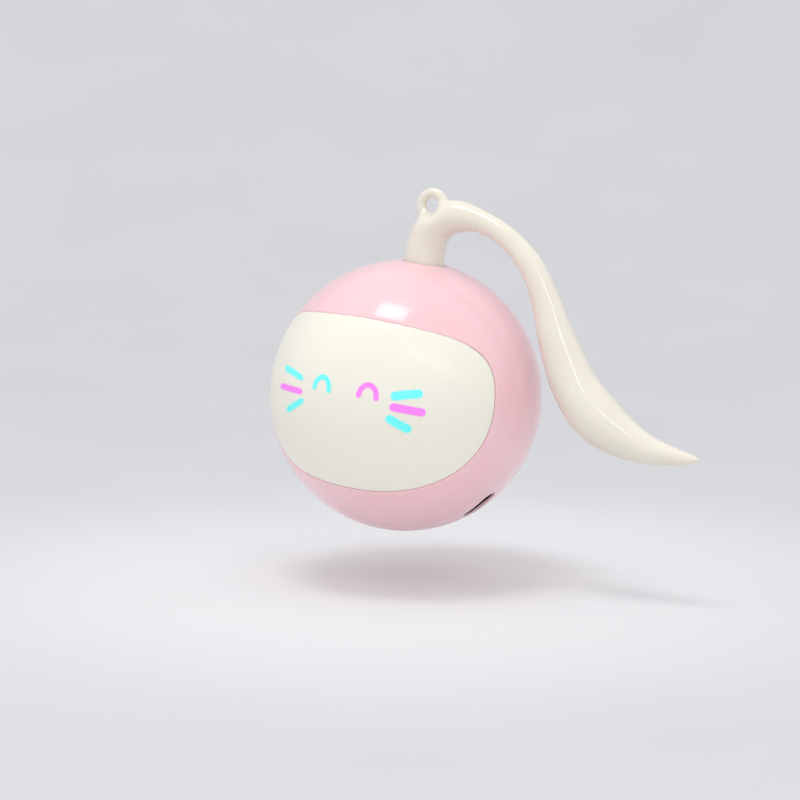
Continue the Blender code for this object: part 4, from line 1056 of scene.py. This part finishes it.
def aim(item, place, back, up):
    """Stand an object at a place with its +Z along back."""
    back = back.normalized()
    right = up.cross(back).normalized()
    turn = Matrix((right, back.cross(right), back)).transposed().to_4x4()
    item.matrix_world = Matrix.Translation(place) @ turn


def softbox(name, toward, distance, width, height, watts, up):
    """A soft white light that faces the object, its width square to up."""
    clear_selection()
    bpy.ops.object.light_add(type="AREA")
    lamp = bpy.context.object
    lamp.name = name
    lamp.data.shape = "RECTANGLE"
    lamp.data.size = width
    lamp.data.size_y = height
    lamp.data.energy = watts
    aim(lamp, Vector(toward).normalized() * distance, Vector(toward), up)


class CATBALL_OT_studio(bpy.types.Operator):
    """Pale floor and backdrop, soft lights and the camera"""
    bl_idname = "catball.studio"
    bl_label = "Studio"

    def execute(self, context):
        s = sizes()
        ahead = -(CAMERA_BACK - LEVEL * CAMERA_BACK.dot(LEVEL)).normalized()
        across = ahead.cross(LEVEL).normalized()
        axes = Matrix((across, ahead, LEVEL)).transposed()
        drop = s.radius + s.hover
        clear_selection()
        bpy.ops.mesh.primitive_grid_add(x_subdivisions=FLOOR_SQUARES, y_subdivisions=FLOOR_SQUARES,
                                        size=FLOOR_SIZE)
        floor = named("studio_sweep")
        edit_all(floor)

        def place(point):
            angle = min(max((point.y - BEND_START) / BEND_RADIUS, 0), pi / 2)
            along = min(point.y, BEND_START) + BEND_RADIUS * sin(angle)
            above = max(point.y - BEND_START - BEND_RADIUS * pi / 2, 0)
            rise = BEND_RADIUS * (1 - cos(angle)) + above
            return axes @ Vector((point.x, along, rise - drop))

        move_selected(floor, place)
        bpy.ops.object.mode_set(mode="OBJECT")
        sweep = floor.modifiers.new("sweep", "SUBSURF")
        sweep.levels = 2
        sweep.render_levels = 2
        finish_modifiers(floor)
        smooth(floor, 60)
        floor.data.materials.append(studio_paint(LEVEL * -drop))
        for name, light in LIGHTS.items():
            softbox(name, *light)
        world = bpy.data.worlds.new("Studio air")
        world.use_nodes = True
        set_values(world.node_tree.nodes["Background"], Color=linear("#FFFFFF"), Strength=AIR_STRENGTH)
        context.scene.world = world
        clear_selection()
        bpy.ops.object.camera_add()
        camera = bpy.context.object
        camera.name = "studio_camera"
        camera.data.sensor_width = 36.0
        camera.data.lens = CAMERA_LENS
        camera.data.clip_start = 0.01
        aim(camera, CAMERA_PLACE, CAMERA_BACK, CAMERA_UP)
        context.scene.camera = camera
        context.scene.view_settings.view_transform = "Standard"
        return {"FINISHED"}


# The painted pool of light on the floor: radii in metres where it starts to fade and has faded
POOL_INNER = 0.02
POOL_OUTER = 0.16


def studio_paint(centre):
    """Matt emulsion on board: pale grey with a roller's faint stipple, and a painted pool of light round
    the object, paler where the board would be lit from above."""
    material, tree, shader, place = new_material("Emulsion paint, pale grey")
    tinted(tree, place, shader, looks().floor, "#CCCDD1", 60 * MM)
    grained(tree, place, shader, 1.2 * MM, 0.02 * MM)
    # Painted light: the floor's colour is paler in a pool round the object
    away = node(tree, "ShaderNodeVectorMath", [(place, 0)], operation="DISTANCE")
    away.inputs[1].default_value = centre
    pool = node(tree, "ShaderNodeMapRange", [(away.outputs["Value"], "Value")], To_Min=1.0, To_Max=0.0,
                interpolation_type="SMOOTHERSTEP", From_Min=POOL_INNER, From_Max=POOL_OUTER)
    blend = node(tree, "ShaderNodeMix", [(pool.outputs["Result"], "Factor")], data_type="RGBA")
    tree.links.new(shader.inputs["Base Color"].links[0].from_socket, blend.inputs["A"])
    blend.inputs["B"].default_value = linear(looks().pool)
    tree.links.new(blend.outputs["Result"], shader.inputs["Base Color"])
    set_values(shader, Roughness=0.85)
    return material


class CATBALL_PT_panel(bpy.types.Panel):
    """Builds the cat ball's pieces"""
    bl_label = "Cat ball"
    bl_idname = "CATBALL_PT_panel"
    bl_space_type = "VIEW_3D"
    bl_region_type = "UI"
    bl_category = "Cat ball"

    def draw(self, context):
        for operator in OPERATORS:
            self.layout.operator(operator.bl_idname)


OPERATORS = (CATBALL_OT_skin, CATBALL_OT_panel, CATBALL_OT_tail, CATBALL_OT_button,
             CATBALL_OT_print, CATBALL_OT_insides, CATBALL_OT_studio)
GROUPS = (CatBallSizes, CatTailSizes, CatBallLooks)


def register():
    for group in GROUPS:
        bpy.utils.register_class(group)
    bpy.types.Scene.cat_ball_sizes = PointerProperty(type=CatBallSizes)
    bpy.types.Scene.cat_tail_sizes = PointerProperty(type=CatTailSizes)
    bpy.types.Scene.cat_ball_looks = PointerProperty(type=CatBallLooks)
    for operator in OPERATORS:
        bpy.utils.register_class(operator)
    bpy.utils.register_class(CATBALL_PT_panel)


def unregister():
    bpy.utils.unregister_class(CATBALL_PT_panel)
    for operator in reversed(OPERATORS):
        bpy.utils.unregister_class(operator)
    del bpy.types.Scene.cat_ball_looks
    del bpy.types.Scene.cat_tail_sizes
    del bpy.types.Scene.cat_ball_sizes
    for group in reversed(GROUPS):
        bpy.utils.unregister_class(group)


def main():
    register()
    bpy.ops.catball.studio()
    bpy.ops.catball.skin()
    bpy.ops.catball.panel()
    bpy.ops.catball.tail()
    bpy.ops.catball.button()
    bpy.ops.catball.print()
    bpy.ops.catball.insides()


if __name__ == "__main__":
    main()
